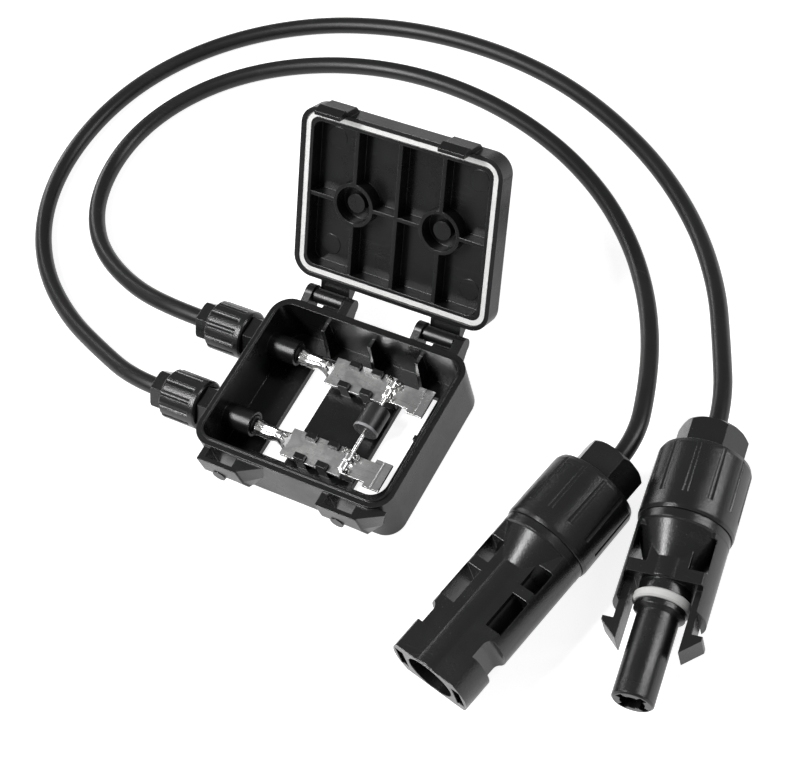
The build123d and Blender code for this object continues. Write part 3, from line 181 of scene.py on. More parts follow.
# %% [markdown]
# A spark-eroded mould prints its own fine grain on the plastic, and the melt cools
# unevenly, which shows as soft cloudy patches in the gloss. Image textures could
# carry both, but they need unwrapped surfaces, while noise on Object coordinates
# covers every piece at its true size. One group gives the grain as a height and the
# clouds as a mask.

# %% Group: mould grain
grain_tree, given, result = shader_group(
    "mould grain",
    {"Grain Scale": 3200.0, "Cloud Scale": 90.0},
    {"Height": "NodeSocketFloat", "Clouds": "NodeSocketFloat"},
)
place = add_node(grain_tree, "ShaderNodeTexCoord").outputs["Object"]
grain = noise(grain_tree, place, given.outputs["Grain Scale"], detail=2.0)
clouds = noise(grain_tree, place, given.outputs["Cloud Scale"], detail=5.0)
grain_tree.links.new(grain, result.inputs["Height"])
grain_tree.links.new(spread(grain_tree, clouds, 0.3, 0.7), result.inputs["Clouds"])
print("built", grain_tree.name)

# %% [markdown]
# Handling leaves hair-fine marks. They could be painted in a mask, piece by piece.
# Noise that is stretched along one direction and cut to a narrow band needs no
# painting and makes broken, nearly straight lines. A second, turned set crosses
# them, and a cloud mask keeps whole areas clean, as on a real part.

# %% Group: handling marks
marks_tree, given, result = shader_group(
    "handling marks", {"Mark Scale": 260.0, "Bare Share": 0.5}, {"Marks": "NodeSocketFloat"}
)
place = add_node(marks_tree, "ShaderNodeTexCoord").outputs["Object"]
marks = 0.0
for heading, slope in ((0.5, 0.2), (2.2, -0.3)):
    turned = add_node(
        marks_tree,
        "ShaderNodeMapping",
        {"Vector": place, "Rotation": (slope, 0.3, heading), "Scale": (0.07, 1.0, 1.0)},
    )
    line = noise(marks_tree, turned.outputs["Vector"], given.outputs["Mark Scale"], detail=1.0)
    off_centre = compute(marks_tree, "ABSOLUTE", compute(marks_tree, "SUBTRACT", line, 0.5))
    marks = compute(marks_tree, "MAXIMUM", marks, spread(marks_tree, off_centre, 0.008, 0.002))
handled = noise(marks_tree, place, 70.0)
over = compute(marks_tree, "SUBTRACT", handled, given.outputs["Bare Share"])
kept = compute(marks_tree, "MULTIPLY", marks, spread(marks_tree, over, 0.0, 0.08))
marks_tree.links.new(kept, result.inputs["Marks"])
print("built", marks_tree.name)

# %% [markdown]
# A little dust lies on whatever faces up. Specks could be scattered as tiny meshes,
# but each is smaller than a pixel here. So the group finds upward faces from the
# surface normal and breaks them into specks, and the finish lightens there.

# %% Group: settled dust
dust_tree, given, result = shader_group(
    "settled dust", {"Speck Scale": 900.0, "Amount": 0.5}, {"Dust": "NodeSocketFloat"}
)
place = add_node(dust_tree, "ShaderNodeTexCoord").outputs["Object"]
surface = add_node(dust_tree, "ShaderNodeNewGeometry")
facing = add_node(dust_tree, "ShaderNodeSeparateXYZ", {0: surface.outputs["Normal"]})
upward = spread(dust_tree, facing.outputs["Z"], 0.55, 0.95)
cells = add_node(
    dust_tree, "ShaderNodeTexVoronoi", {"Vector": place, "Scale": given.outputs["Speck Scale"]}
)
specks = spread(dust_tree, cells.outputs["Distance"], 0.16, 0.06)
drift = spread(dust_tree, noise(dust_tree, place, 120.0), 0.5, 0.68)
lying = compute(dust_tree, "MULTIPLY", compute(dust_tree, "MULTIPLY", specks, drift), upward)
amount = compute(dust_tree, "MULTIPLY", lying, given.outputs["Amount"])
dust_tree.links.new(amount, result.inputs["Dust"])
print("built", dust_tree.name)

# %% [markdown]
# A finish starts as a bare Principled shader with its uniform values on its own
# sockets. A group is then placed in it with values for that finish. Each finish could
# have a tree of its own from start to end, but with shared groups a better grain or
# edge is made once, for all of them. Bump strength is given as a height in metres,
# because the object is in metres too.

# %% Finish helpers


def bare_finish(name, **sockets):
    """A material with one Principled shader, and its uniform values set."""
    material = bpy.data.materials.new(name)
    material.use_nodes = True
    shader = material.node_tree.nodes["Principled BSDF"]
    for socket, value in sockets.items():
        shader.inputs[socket.replace("_", " ")].default_value = value
    return material, material.node_tree, shader


def use_group(tree, group, **values):
    """Place a shader group with this finish's values."""
    node = add_node(tree, "ShaderNodeGroup", node_tree=group)
    for socket, value in values.items():
        node.inputs[socket.replace("_", " ")].default_value = value
    return node.outputs


def raise_surface(tree, height, depth, normal=None):
    """Bump of a given depth in metres, on top of another normal."""
    bump = add_node(tree, "ShaderNodeBump", {"Height": height, "Strength": 1.0, "Distance": depth})
    if normal is not None:
        tree.links.new(normal, bump.inputs["Normal"])
    return bump.outputs["Normal"]


# %% [markdown]
# Black moulded plastic isn't one flat black. A single colour would read as rubber or
# paint, so the recipe puts the groups together: paler rubbed edges, hair marks and
# specks over the base colour, clouds in the roughness, and the grain as a bump.

# %% Recipe for moulded plastic
DUST_COLOUR = (0.2, 0.2, 0.19, 1)


def moulded_plastic(
    name, colour, rubbed_colour, shine, roughness, edge_radius, cloud_scale, mark_share, depth
):
    """Black moulded plastic: cloudy gloss, fine grain, rubbed edges, marks and specks."""
    material, tree, shader = bare_finish(name, IOR=1.5, Specular_IOR_Level=shine)
    edge = use_group(tree, edges_tree, Edge_Radius=edge_radius, Rub_Scale=420.0)
    grain = use_group(tree, grain_tree, Grain_Scale=2600.0, Cloud_Scale=cloud_scale)
    lines = use_group(tree, marks_tree, Mark_Scale=300.0, Bare_Share=mark_share)
    dust = use_group(tree, dust_tree, Speck_Scale=800.0, Amount=0.5)
    base = blend_colours(tree, edge["Rubbed"], colour, rubbed_colour)
    scuff = compute(tree, "MULTIPLY", lines["Marks"], 0.35)
    scuffed = blend_colours(tree, scuff, base, rubbed_colour)
    speckle = compute(tree, "MULTIPLY", dust["Dust"], 0.5)
    dusty = blend_colours(tree, speckle, scuffed, DUST_COLOUR)
    clouded = spread(tree, grain["Clouds"], 0.0, 1.0, roughness - 0.05, roughness + 0.09)
    polish = compute(tree, "MULTIPLY", edge["Rubbed"], 0.08)
    smoother = compute(tree, "SUBTRACT", clouded, polish, clamp=True)
    tree.links.new(dusty, shader.inputs["Base Color"])
    tree.links.new(smoother, shader.inputs["Roughness"])
    normal = raise_surface(tree, grain["Height"], depth, edge["Normal"])
    tree.links.new(normal, shader.inputs["Normal"])
    return material


# %% [markdown]
# The case and its lid are satin black. The connectors and the small clamp nuts come
# from other tools with a smoother skin. They could share the case's finish, but then
# they would melt into one black shape beside it. So they get a lower roughness, a
# stronger shine and a slightly softer edge.

# %% Black plastics
case_plastic = moulded_plastic(
    "case_plastic",
    colour=(0.0065, 0.0066, 0.007, 1),
    rubbed_colour=(0.026, 0.026, 0.027, 1),
    shine=0.40,
    roughness=0.27,
    edge_radius=0.00028,
    cloud_scale=90.0,
    mark_share=0.5,
    depth=0.00002,
)
connector_plastic = moulded_plastic(
    "connector_plastic",
    colour=(0.0075, 0.0076, 0.008, 1),
    rubbed_colour=(0.034, 0.034, 0.035, 1),
    shine=0.55,
    roughness=0.22,
    edge_radius=0.00032,
    cloud_scale=60.0,
    mark_share=0.54,
    depth=0.00005,
)
print("made", case_plastic.name, connector_plastic.name)

# %% [markdown]
# The cable jacket is extruded rubber-like plastic. It is duller than the mouldings,
# with a fine pimpled skin and long, faint changes in gloss. The bushes inside the
# screw entries are softer still. They could have a recipe of their own, but only
# their values differ, so both use this one.

# %% Cable jacket and rubber
SCUFF_COLOUR = (0.06, 0.06, 0.06, 1)


def dull_jacket(name, colour, dulled, roughness, depth):
    """Extruded or moulded rubber: pimpled skin and slow changes in gloss."""
    material, tree, shader = bare_finish(name, IOR=1.5, Specular_IOR_Level=0.38)
    grain = use_group(tree, grain_tree, Grain_Scale=2000.0, Cloud_Scale=45.0)
    lines = use_group(tree, marks_tree, Mark_Scale=220.0, Bare_Share=0.56)
    toned = blend_colours(tree, grain["Clouds"], colour, dulled)
    scuff = compute(tree, "MULTIPLY", lines["Marks"], 0.3)
    marked = blend_colours(tree, scuff, toned, SCUFF_COLOUR)
    tree.links.new(marked, shader.inputs["Base Color"])
    clouded = spread(tree, grain["Clouds"], 0.0, 1.0, roughness - 0.04, roughness + 0.08)
    tree.links.new(clouded, shader.inputs["Roughness"])
    tree.links.new(raise_surface(tree, grain["Height"], depth), shader.inputs["Normal"])
    return material


cable_jacket = dull_jacket(
    "cable_jacket",
    colour=(0.008, 0.008, 0.0083, 1),
    dulled=(0.012, 0.012, 0.0124, 1),
    roughness=0.33,
    depth=0.00002,
)
black_rubber = dull_jacket(
    "black_rubber",
    colour=(0.010, 0.010, 0.010, 1),
    dulled=(0.016, 0.016, 0.016, 1),
    roughness=0.6,
    depth=0.00005,
)
print("made", cable_jacket.name, black_rubber.name)

# %% [markdown]
# The gasket is a cord of white foam pressed in the lid's groove. Its skin is full of
# tiny open cells. Modelled pits would cost thousands of faces that no one sees, so
# the cells of a Voronoi texture press them in as a bump and paint shade in their
# bottoms as a darker colour.

# %% Gasket foam
gasket_foam, tree, shader = bare_finish("gasket_foam", IOR=1.4, Specular_IOR_Level=0.3)
place = add_node(tree, "ShaderNodeTexCoord").outputs["Object"]
cells = add_node(tree, "ShaderNodeTexVoronoi", {"Vector": place, "Scale": 2200.0})
pits = spread(tree, cells.outputs["Distance"], 0.05, 0.45)
soil = spread(tree, noise(tree, place, 160.0, detail=6.0), 0.5, 0.8)
foam = blend_colours(tree, soil, (0.86, 0.86, 0.85, 1), (0.72, 0.72, 0.70, 1))
# Painted shade: the pit bottoms get a darker colour than the foam.
shaded = blend_colours(tree, pits, (0.70, 0.70, 0.68, 1), foam)
tree.links.new(shaded, shader.inputs["Base Color"])
tree.links.new(spread(tree, soil, 0.0, 1.0, 0.78, 0.92), shader.inputs["Roughness"])
tree.links.new(raise_surface(tree, pits, 0.00008), shader.inputs["Normal"])
print("made", gasket_foam.name)

# %% [markdown]
# The seal ring on the plug is grey silicone, smooth and slightly waxy. Subsurface
# scattering would give the wax, but it is slow and hardly shows on a ring this thin.
# Two greys in soft clouds and a middling roughness come close enough.

# %% Grey silicone
grey_silicone, tree, shader = bare_finish("grey_silicone", IOR=1.41, Specular_IOR_Level=0.4)
grain = use_group(tree, grain_tree, Grain_Scale=1500.0, Cloud_Scale=150.0)
edge = use_group(tree, edges_tree, Edge_Radius=0.0002)
waxy = blend_colours(tree, grain["Clouds"], (0.56, 0.56, 0.55, 1), (0.64, 0.64, 0.63, 1))
tree.links.new(waxy, shader.inputs["Base Color"])
tree.links.new(spread(tree, grain["Clouds"], 0.0, 1.0, 0.42, 0.56), shader.inputs["Roughness"])
tree.links.new(raise_surface(tree, grain["Height"], 0.00002, edge["Normal"]), shader.inputs["Normal"])
print("made", grey_silicone.name)

# %% [markdown]
# The strips are stamped copper alloy with a tin coat. Tin is soft: it takes cloudy
# grey patches, fine scratches from sliding through the tool and bright rubbed
# edges. One even metal would flash white or go black as a whole. Here the roughness
# follows the clouds, so some patches mirror and others do not. A line pressed across
# the strips near their far ends is a bump, because it is too shallow for the mesh.

# %% Tinned metal
SCRATCH_COLOUR = (0.30, 0.30, 0.30, 1)
PAD_DARK_COLOUR = (0.40, 0.40, 0.40, 1)
BRIGHT_EDGE = (0.93, 0.93, 0.92, 1)


def tinned(name, bright, dull, smooth, rough, cloud_scale, depth, pressed_at=None):
    """Tin coat: cloudy patches in colour, gloss and height, scratches and a pressed line."""
    material, tree, shader = bare_finish(name, Metallic=1.0)
    edge = use_group(tree, edges_tree, Edge_Radius=0.00012, Rub_Scale=700.0)
    grain = use_group(tree, grain_tree, Grain_Scale=2800.0, Cloud_Scale=cloud_scale)
    lines = use_group(tree, marks_tree, Mark_Scale=520.0, Bare_Share=0.38)
    patchy = spread(tree, grain["Clouds"], 0.3, 0.7)
    toned = blend_colours(tree, patchy, bright, dull)
    waves = compute(tree, "MULTIPLY", grain["Clouds"], 1.5)
    height = compute(tree, "ADD", grain["Height"], waves)
    if pressed_at is not None:
        place = add_node(tree, "ShaderNodeTexCoord").outputs["Object"]
        along = add_node(tree, "ShaderNodeSeparateXYZ", {0: place}).outputs["X"]
        away = compute(tree, "ABSOLUTE", compute(tree, "SUBTRACT", along, pressed_at))
        pressed = spread(tree, away, 0.0005, 0.0001, 0.0, 5.0)
        height = compute(tree, "ADD", height, pressed)
        # From 12 to 18 mm along X the colour turns towards a darker grey, and it stays darker further
        # along.
        pad_darkening = compute(tree, "MULTIPLY", spread(tree, along, 0.012, 0.018), 0.6)
        toned = blend_colours(tree, pad_darkening, toned, PAD_DARK_COLOUR)
    scratch = compute(tree, "MULTIPLY", lines["Marks"], 0.55)
    scratched = blend_colours(tree, scratch, toned, SCRATCH_COLOUR)
    rubbed = blend_colours(tree, edge["Rubbed"], scratched, BRIGHT_EDGE)
    tree.links.new(rubbed, shader.inputs["Base Color"])
    clouded = spread(tree, grain["Clouds"], 0.0, 1.0, smooth, rough)
    tree.links.new(clouded, shader.inputs["Roughness"])
    tree.links.new(raise_surface(tree, height, depth, edge["Normal"]), shader.inputs["Normal"])
    return material


# %% [markdown]
# The stamped strips are the dull, patchy kind. Drawn wire and the crimped barrels are
# cleaner and brighter. They could be another material altogether, but it is the same
# tin, so the same recipe makes both from different values.

# %% Strip and wire
tinned_strip = tinned(
    "tinned_strip",
    bright=(0.90, 0.90, 0.89, 1),
    dull=(0.44, 0.44, 0.44, 1),
    smooth=0.18,
    rough=0.44,
    cloud_scale=140.0,
    depth=0.00002,
    pressed_at=0.0198,
)
drawn_wire = tinned(
    "drawn_wire",
    bright=(0.94, 0.94, 0.93, 1),
    dull=(0.76, 0.76, 0.75, 1),
    smooth=0.18,
    rough=0.32,
    cloud_scale=600.0,
    depth=0.00001,
)
print("made", tinned_strip.name, drawn_wire.name)

# %% [markdown]
# The diode is a satin resin cylinder, and a silver band marks the end that faces
# the front strip. The band could be a thin ring of its own, but real ones are
# printed and have no height. Two steps along Y cut it from the resin, and noise
# frays its borders a little.

# %% Diode resin with its band
BAND_START = -0.0008
BAND_END = 0.0001
BAND_BLUR = 0.0001
BAND_COLOUR = (0.30, 0.30, 0.31, 1)

diode_resin, tree, shader = bare_finish("diode_resin", IOR=1.55, Specular_IOR_Level=0.5)
place = add_node(tree, "ShaderNodeTexCoord").outputs["Object"]
along = add_node(tree, "ShaderNodeSeparateXYZ", {0: place}).outputs["Y"]
fray = compute(tree, "MULTIPLY", noise(tree, place, 1500.0), 0.0002)
frayed = compute(tree, "ADD", along, fray)
after = spread(tree, frayed, BAND_START, BAND_START + BAND_BLUR)
before = spread(tree, frayed, BAND_END, BAND_END - BAND_BLUR)
band = compute(tree, "MULTIPLY", after, before)
grain = use_group(tree, grain_tree, Grain_Scale=2400.0, Cloud_Scale=260.0)
edge = use_group(tree, edges_tree, Edge_Radius=0.0003)
resin = blend_colours(tree, grain["Clouds"], (0.012, 0.012, 0.012, 1), (0.02, 0.02, 0.021, 1))
painted = blend_colours(tree, band, resin, BAND_COLOUR)
tree.links.new(painted, shader.inputs["Base Color"])
tree.links.new(spread(tree, grain["Clouds"], 0.0, 1.0, 0.30, 0.42), shader.inputs["Roughness"])
tree.links.new(raise_surface(tree, grain["Height"], 0.00003, edge["Normal"]), shader.inputs["Normal"])
print("made", diode_resin.name)

# %% [markdown]
# The CAD pieces keep their exact shapes and only change finish, through their
# material slots. Each could be dressed in a line of its own, but a table of the
# record's slot names to finishes dresses all of them and leaves none out. The
# diode's leads, the connectors' contacts and the clamp nuts then get the finish that
# fits them better than their slot's own.

# %% Dress the CAD pieces
FINISHES = {
    "black_plastic": case_plastic,
    "connector_plastic": connector_plastic,
    "white_gasket": gasket_foam,
    "tinned_metal": tinned_strip,
    "diode_resin": diode_resin,
    "cable_jacket": cable_jacket,
    "black_rubber": black_rubber,
    "grey_rubber": grey_silicone,
}
SLOT_OF = {entry["node"]: entry["material_slot"] for entry in frame["record"]["subparts"]}
for name, node in nodes.items():
    node.material_slots[0].material = FINISHES[SLOT_OF[name]]
for name in ("diode_lead_rear", "diode_lead_front", "socket_contact", "plug_contact"):
    nodes[name].material_slots[0].material = drawn_wire
for name in ("gland_nut_rear", "gland_nut_front"):
    nodes[name].material_slots[0].material = connector_plastic
print("dressed", len(nodes), "pieces with", len(FINISHES) + 1, "finishes")

# %% [markdown]
# The cables are the lines that the eye follows first. Each leaves its screw entry
# straight, drops to the ground, swings round in a wide arc and rises a little into
# its connector. A chain of tubes would show its joints, and a Bezier curve bends
# unevenly between its handles. So each is one smooth NURBS spline through listed
# control points, and a round bevel gives it the jacket's thickness.

# %% Cables
JACKET_DIAMETER = 0.00534
REAR_POINTS = [
    (-0.0553, 0.0143, 0.0090), (-0.0675, 0.0143, 0.0090), (-0.0855, 0.0174, 0.0070),
    (-0.1044, 0.0261, 0.0046), (-0.1166, 0.0386, 0.0031), (-0.1222, 0.0535, 0.00275),
    (-0.1226, 0.0695, 0.00275), (-0.1178, 0.0850, 0.00275), (-0.1076, 0.0996, 0.00275),
    (-0.0930, 0.1114, 0.00275), (-0.0746, 0.1200, 0.00275), (-0.0540, 0.1248, 0.00275),
    (-0.0325, 0.1255, 0.00275), (-0.0095, 0.1222, 0.00275), (0.0134, 0.1146, 0.00275),
    (0.0342, 0.1030, 0.0030), (0.0512, 0.0882, 0.0044), (0.0642, 0.0722, 0.0068),
    (0.0742, 0.0554, 0.0098), (0.0813, 0.0385, 0.0128), (0.085564, 0.022763, 0.0132),
    (0.083616, 0.013976, 0.0132),
]
FRONT_POINTS = [
    (-0.0553, -0.0119, 0.0090), (-0.0660, -0.0119, 0.0090), (-0.0820, -0.0064, 0.0064),
    (-0.1015, 0.0014, 0.0040), (-0.1195, 0.0136, 0.0029), (-0.1322, 0.0296, 0.00275),
    (-0.1389, 0.0490, 0.00275), (-0.1392, 0.0705, 0.00275), (-0.1334, 0.0910, 0.00275),
    (-0.1216, 0.1090, 0.00275), (-0.1050, 0.1238, 0.00275), (-0.0848, 0.1347, 0.00275),
    (-0.0625, 0.1410, 0.00275), (-0.0399, 0.1434, 0.00275), (-0.0165, 0.1422, 0.00275),
    (0.0060, 0.1374, 0.00275), (0.0280, 0.1284, 0.00275), (0.0492, 0.1158, 0.0032),
    (0.0685, 0.0988, 0.0050), (0.0837, 0.0794, 0.0082), (0.0938, 0.0606, 0.0112),
    (0.103093, 0.042016, 0.0132), (0.104744, 0.032153, 0.0132),
]


def lay_cable(name, points):
    """One round cable on a NURBS spline with these control points."""
    line = bpy.data.curves.new(name, "CURVE")
    line.dimensions = "3D"
    spline = line.splines.new("NURBS")
    spline.points.add(len(points) - 1)
    for point, place in zip(spline.points, points):
        point.co = (*place, 1.0)
    spline.order_u = 3
    spline.use_endpoint_u = True
    spline.resolution_u = 16
    line.bevel_depth = JACKET_DIAMETER / 2
    line.bevel_resolution = 7
    line.use_fill_caps = True
    line.materials.append(cable_jacket)
    cable = bpy.data.objects.new(name, line)
    bpy.context.scene.collection.objects.link(cable)
    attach(cable, "box")
    return cable


rear_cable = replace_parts(lay_cable("rear_cable", REAR_POINTS), "cable_rear")
front_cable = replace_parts(lay_cable("front_cable", FRONT_POINTS), "cable_front")
print("laid cables through", len(REAR_POINTS), "and", len(FRONT_POINTS), "points")

# %% [markdown]
# Geometry Nodes make whatever repeats. Python loops could place every copy, but a
# tree has named sizes that can be changed later without touching how it works. Three
# helpers wrap it: one starts a tree, one ends it, and one runs it on an object, turns
# the result into a plain mesh and throws the modifier away, so that nothing stays
# live.

# %% Geometry Nodes helpers


def shape_tree(name, inputs):
    """A Geometry Nodes tree with a geometry input, named inputs and a geometry output."""
    tree = bpy.data.node_groups.new(name, "GeometryNodeTree")
    tree.interface.new_socket("Geometry", in_out="INPUT", socket_type="NodeSocketGeometry")
    for label, (kind, value) in inputs.items():
        socket = tree.interface.new_socket(label, in_out="INPUT", socket_type=kind)
        if value is not None:
            socket.default_value = value
    tree.interface.new_socket("Geometry", in_out="OUTPUT", socket_type="NodeSocketGeometry")
    return tree, add_node(tree, "NodeGroupInput").outputs, add_node(tree, "NodeGroupOutput").inputs


def finish_tree(tree, instances, material, out):
    """End a tree: make the copies real and give them their finish."""
    real = add_node(tree, "GeometryNodeRealizeInstances", {0: instances})
    coat = {"Geometry": real.outputs[0], "Material": material}
    painted = add_node(tree, "GeometryNodeSetMaterial", coat)
    tree.links.new(painted.outputs[0], out["Geometry"])


def grow(name, start, tree, values):
    """Run a tree on a starting mesh or curve and keep the result as a plain mesh."""
    source = bpy.data.objects.new(name + "_start", start)
    bpy.context.scene.collection.objects.link(source)
    modifier = source.modifiers.new("grow", "NODES")
    modifier.node_group = tree
    sockets = [item for item in tree.interface.items_tree if item.in_out == "INPUT"]
    identifiers = {socket.name: socket.identifier for socket in sockets}
    for label, value in values.items():
        modifier[identifiers[label]] = value
    bpy.context.view_layer.update()
    graph = bpy.context.evaluated_depsgraph_get()
    made = bpy.data.meshes.new_from_object(source.evaluated_get(graph), depsgraph=graph)
    made.name = name
    bpy.data.objects.remove(source)
    piece = bpy.data.objects.new(name, made)
    bpy.context.scene.collection.objects.link(piece)
    print(name, len(made.polygons), "faces")
    return piece


FLOAT = "NodeSocketFloat"
WHOLE = "NodeSocketInt"
MATERIAL = "NodeSocketMaterial"

# %% [markdown]
# Inside the case each jacket is cut back, and the bare conductor runs on into the
# crimp. It is a bundle of fine tinned strands with a slow twist, not a rod. A twisted
# pattern on a rod would look flat at the cut end, so every strand is real. The tree
# first lays small circles out like seeds in a sunflower head.

# %% Tree for stranded wire: the cross section
GOLDEN_ANGLE = 2.39996
strands_tree, given, out = shape_tree(
    "stranded wire",
    {
        "Strands": (WHOLE, 19),
        "Bundle Radius": (FLOAT, 0.0010),
        "Strand Radius": (FLOAT, 0.0002),
        "Twist": (FLOAT, 2.4),
        "Looseness": (FLOAT, 0.0001),
        "Finish": (MATERIAL, None),
    },
)
seeds = add_node(strands_tree, "GeometryNodePoints", {"Count": given["Strands"]})
rank = add_node(strands_tree, "GeometryNodeInputIndex").outputs[0]
middle = compute(strands_tree, "ADD", rank, 0.5)
share = compute(strands_tree, "DIVIDE", middle, given["Strands"])
outward = compute(strands_tree, "SQRT", share)
reach = compute(strands_tree, "MULTIPLY", outward, given["Bundle Radius"])
angle = compute(strands_tree, "MULTIPLY", rank, GOLDEN_ANGLE)
spot = add_node(
    strands_tree,
    "ShaderNodeCombineXYZ",
    {
        "X": compute(strands_tree, "MULTIPLY", reach, compute(strands_tree, "COSINE", angle)),
        "Y": compute(strands_tree, "MULTIPLY", reach, compute(strands_tree, "SINE", angle)),
    },
)
placed = add_node(
    strands_tree,
    "GeometryNodeSetPosition",
    {"Geometry": seeds.outputs[0], "Position": spot.outputs[0]},
)
ring = add_node(
    strands_tree,
    "GeometryNodeCurvePrimitiveCircle",
    {"Resolution": 8, "Radius": given["Strand Radius"]},
)
rings = add_node(
    strands_tree,
    "GeometryNodeInstanceOnPoints",
    {"Points": placed.outputs[0], "Instance": ring.outputs[0]},
)
sections = add_node(strands_tree, "GeometryNodeRealizeInstances", {0: rings.outputs[0]})
print("laid out the cross section in", strands_tree.name)

# %% [markdown]
# The circles are then swept all at once along the wire's path. Turning each strand
# into a helix of its own would give the twist too, but it is simpler to let the
# path's tilt turn the whole bundle. Noise pushes the strands slightly out of line,
# because no cut wire keeps them perfectly packed.

# %% Tree for stranded wire: the sweep
path = add_node(strands_tree, "GeometryNodeResampleCurve", {"Curve": given["Geometry"], "Count": 40})
progress = add_node(strands_tree, "GeometryNodeSplineParameter").outputs["Factor"]
tilted = add_node(
    strands_tree,
    "GeometryNodeSetCurveTilt",
    {"Curve": path.outputs[0], "Tilt": compute(strands_tree, "MULTIPLY", progress, given["Twist"])},
)
swept = add_node(
    strands_tree,
    "GeometryNodeCurveToMesh",
    {"Curve": tilted.outputs[0], "Profile Curve": sections.outputs[0], "Fill Caps": True},
)
spot_noise = add_node(strands_tree, "ShaderNodeTexNoise", {"Scale": 700.0, "Detail": 0.0})
centred = add_node(
    strands_tree,
    "ShaderNodeVectorMath",
    {0: spot_noise.outputs["Color"], 1: (0.5, 0.5, 0.5)},
    operation="SUBTRACT",
)
push = add_node(
    strands_tree,
    "ShaderNodeVectorMath",
    {0: centred.outputs[0], "Scale": given["Looseness"]},
    operation="SCALE",
)
loose = add_node(
    strands_tree,
    "GeometryNodeSetPosition",
    {"Geometry": swept.outputs[0], "Offset": push.outputs[0]},
)
finish_tree(strands_tree, loose.outputs[0], given["Finish"], out)
print("swept", strands_tree.name)

# %% [markdown]
# The wire drops a little from the sleeve into its crimp. A straight line could join
# the two, but bare wire bends in a soft S there. A short path of (x, z) points gives
# that bend, and the same path serves both wires at their own place in Y.

# %% Two conductors
WIRE_PATH = [
    (-0.0212, 0.0090), (-0.0204, 0.0088), (-0.0197, 0.0080), (-0.0189, 0.0073),
    (-0.0170, 0.0072), (-0.0133, 0.0072),
]
WIRE_VALUES = {
    "Strands": 19,
    "Bundle Radius": 0.00095,
    "Strand Radius": 0.00021,
    "Twist": 1.6,
    "Looseness": 0.00016,
    "Finish": drawn_wire,
}
ENTRY_PLACES = {"rear": 0.0143, "front": -0.0119}
for side, entry_y in ENTRY_PLACES.items():
    line = bpy.data.curves.new("wire_path", "CURVE")
    line.dimensions = "3D"
    spline = line.splines.new("POLY")
    spline.points.add(len(WIRE_PATH) - 1)
    for point, (x, z) in zip(spline.points, WIRE_PATH):
        point.co = (x, entry_y, z, 1.0)
    strands = grow("strands_" + side, line, strands_tree, WIRE_VALUES)
    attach(strands, "box")
    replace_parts(strands, "conductor_" + side)

# %% [markdown]
# Each strip ends in a crimp: its metal is folded over the wire from both sides. From
# above that shows two rounded lobes with a seam between them. Bent sheet metal could
# be modelled flap by flap, but only its outer skin shows. So rings of points follow
# the outline along the wire, and a table gives each ring's place along X and Z, half
# width and half height, from the mouth at the sleeve to the flat tail on the strip.

# %% Folded crimp
CRIMP_RINGS = [
    (-0.0211, 0.0085, 0.0017, 0.0012), (-0.0208, 0.0084, 0.0024, 0.0018),
    (-0.0202, 0.0080, 0.0025, 0.0020), (-0.0194, 0.0076, 0.0023, 0.0019),
    (-0.0184, 0.0073, 0.0022, 0.0018), (-0.0172, 0.0073, 0.0023, 0.0019),
    (-0.0160, 0.0073, 0.0023, 0.0019), (-0.0151, 0.0073, 0.0021, 0.00185),
    (-0.0143, 0.0073, 0.00185, 0.0018), (-0.0130, 0.0072, 0.0019, 0.0018),
    (-0.0121, 0.0068, 0.0023, 0.0014), (-0.0113, 0.0061, 0.0028, 0.0007),
    (-0.0108, 0.0058, 0.0030, 0.0003),
]
SIDES = 40
SEAM_DEPTH = 0.5
SEAM_WIDTH = 0.2
RIDGES = 11
RIDGE_HEIGHT = 0.035


def crimp(name, entry_y):
    """A closed shell with two lobes and a seam, one ring of points per table row."""
    points = []
    for x, z, half_width, half_height in CRIMP_RINGS:
        for step in range(SIDES):
            angle = radians(360.0 * step / SIDES)
            across = cos(angle)
            rise = sin(angle)
            seam = SEAM_DEPTH * exp(-((across / SEAM_WIDTH) ** 2)) if rise > 0 else 0.0
            ridge = 1.0 + RIDGE_HEIGHT * cos(RIDGES * angle)
            lift = half_height * rise * (1.0 - seam) * ridge
            points.append((x, entry_y + half_width * ridge * across, z + lift))
    faces = []
    for row in range(len(CRIMP_RINGS) - 1):
        start = row * SIDES
        for step in range(SIDES):
            after = (step + 1) % SIDES
            faces.append((start + step, start + after, start + SIDES + after, start + SIDES + step))
    faces.append(tuple(reversed(range(SIDES))))
    faces.append(tuple(range(len(points) - SIDES, len(points))))
    smooth = [True] * (len(faces) - 2) + [False, False]
    shell = bpy.data.meshes.new(name)
    shell.from_pydata(points, [], faces)
    shell.polygons.foreach_set("use_smooth", smooth)
    shell.materials.append(drawn_wire)
    piece = bpy.data.objects.new(name, shell)
    bpy.context.scene.collection.objects.link(piece)
    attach(piece, "box")
    return piece


for side, entry_y in ENTRY_PLACES.items():
    print(crimp("crimp_" + side, entry_y).name, len(CRIMP_RINGS), "rings")

# %% [markdown]
# The strips also carry small torn tabs that are curled up beside the diode's leads.
# They could be bent one by one in CAD, which is slow work for such small things. One
# tree rolls a ribbon along a spiral instead and copies it to every tab's place, each
# with its own heading. A fixed seed keeps the headings the same every time.

# %% Tree for curled tabs
LEAST_TURN = (-0.2, -0.2, -0.7)
MOST_TURN = (0.2, 0.2, 0.9)
UPRIGHT = (radians(90), radians(-60), 0.0)
tabs_tree, given, out = shape_tree(
    "curled tabs",
    {
        "Outer Radius": (FLOAT, 0.0011),
        "Inner Radius": (FLOAT, 0.0006),
        "Width": (FLOAT, 0.0018),
        "Thickness": (FLOAT, 0.0003),
        "Seed": (WHOLE, 4),
        "Finish": (MATERIAL, None),
    },
)
roll = add_node(
    tabs_tree,
    "GeometryNodeCurveSpiral",
    {
        "Resolution": 28,
        "Rotations": 0.86,
        "Start Radius": given["Outer Radius"],
        "End Radius": given["Inner Radius"],
        "Height": 0.0,
    },
)
ribbon = add_node(
    tabs_tree,
    "GeometryNodeCurvePrimitiveQuadrilateral",
    {"Width": given["Thickness"], "Height": given["Width"]},
)
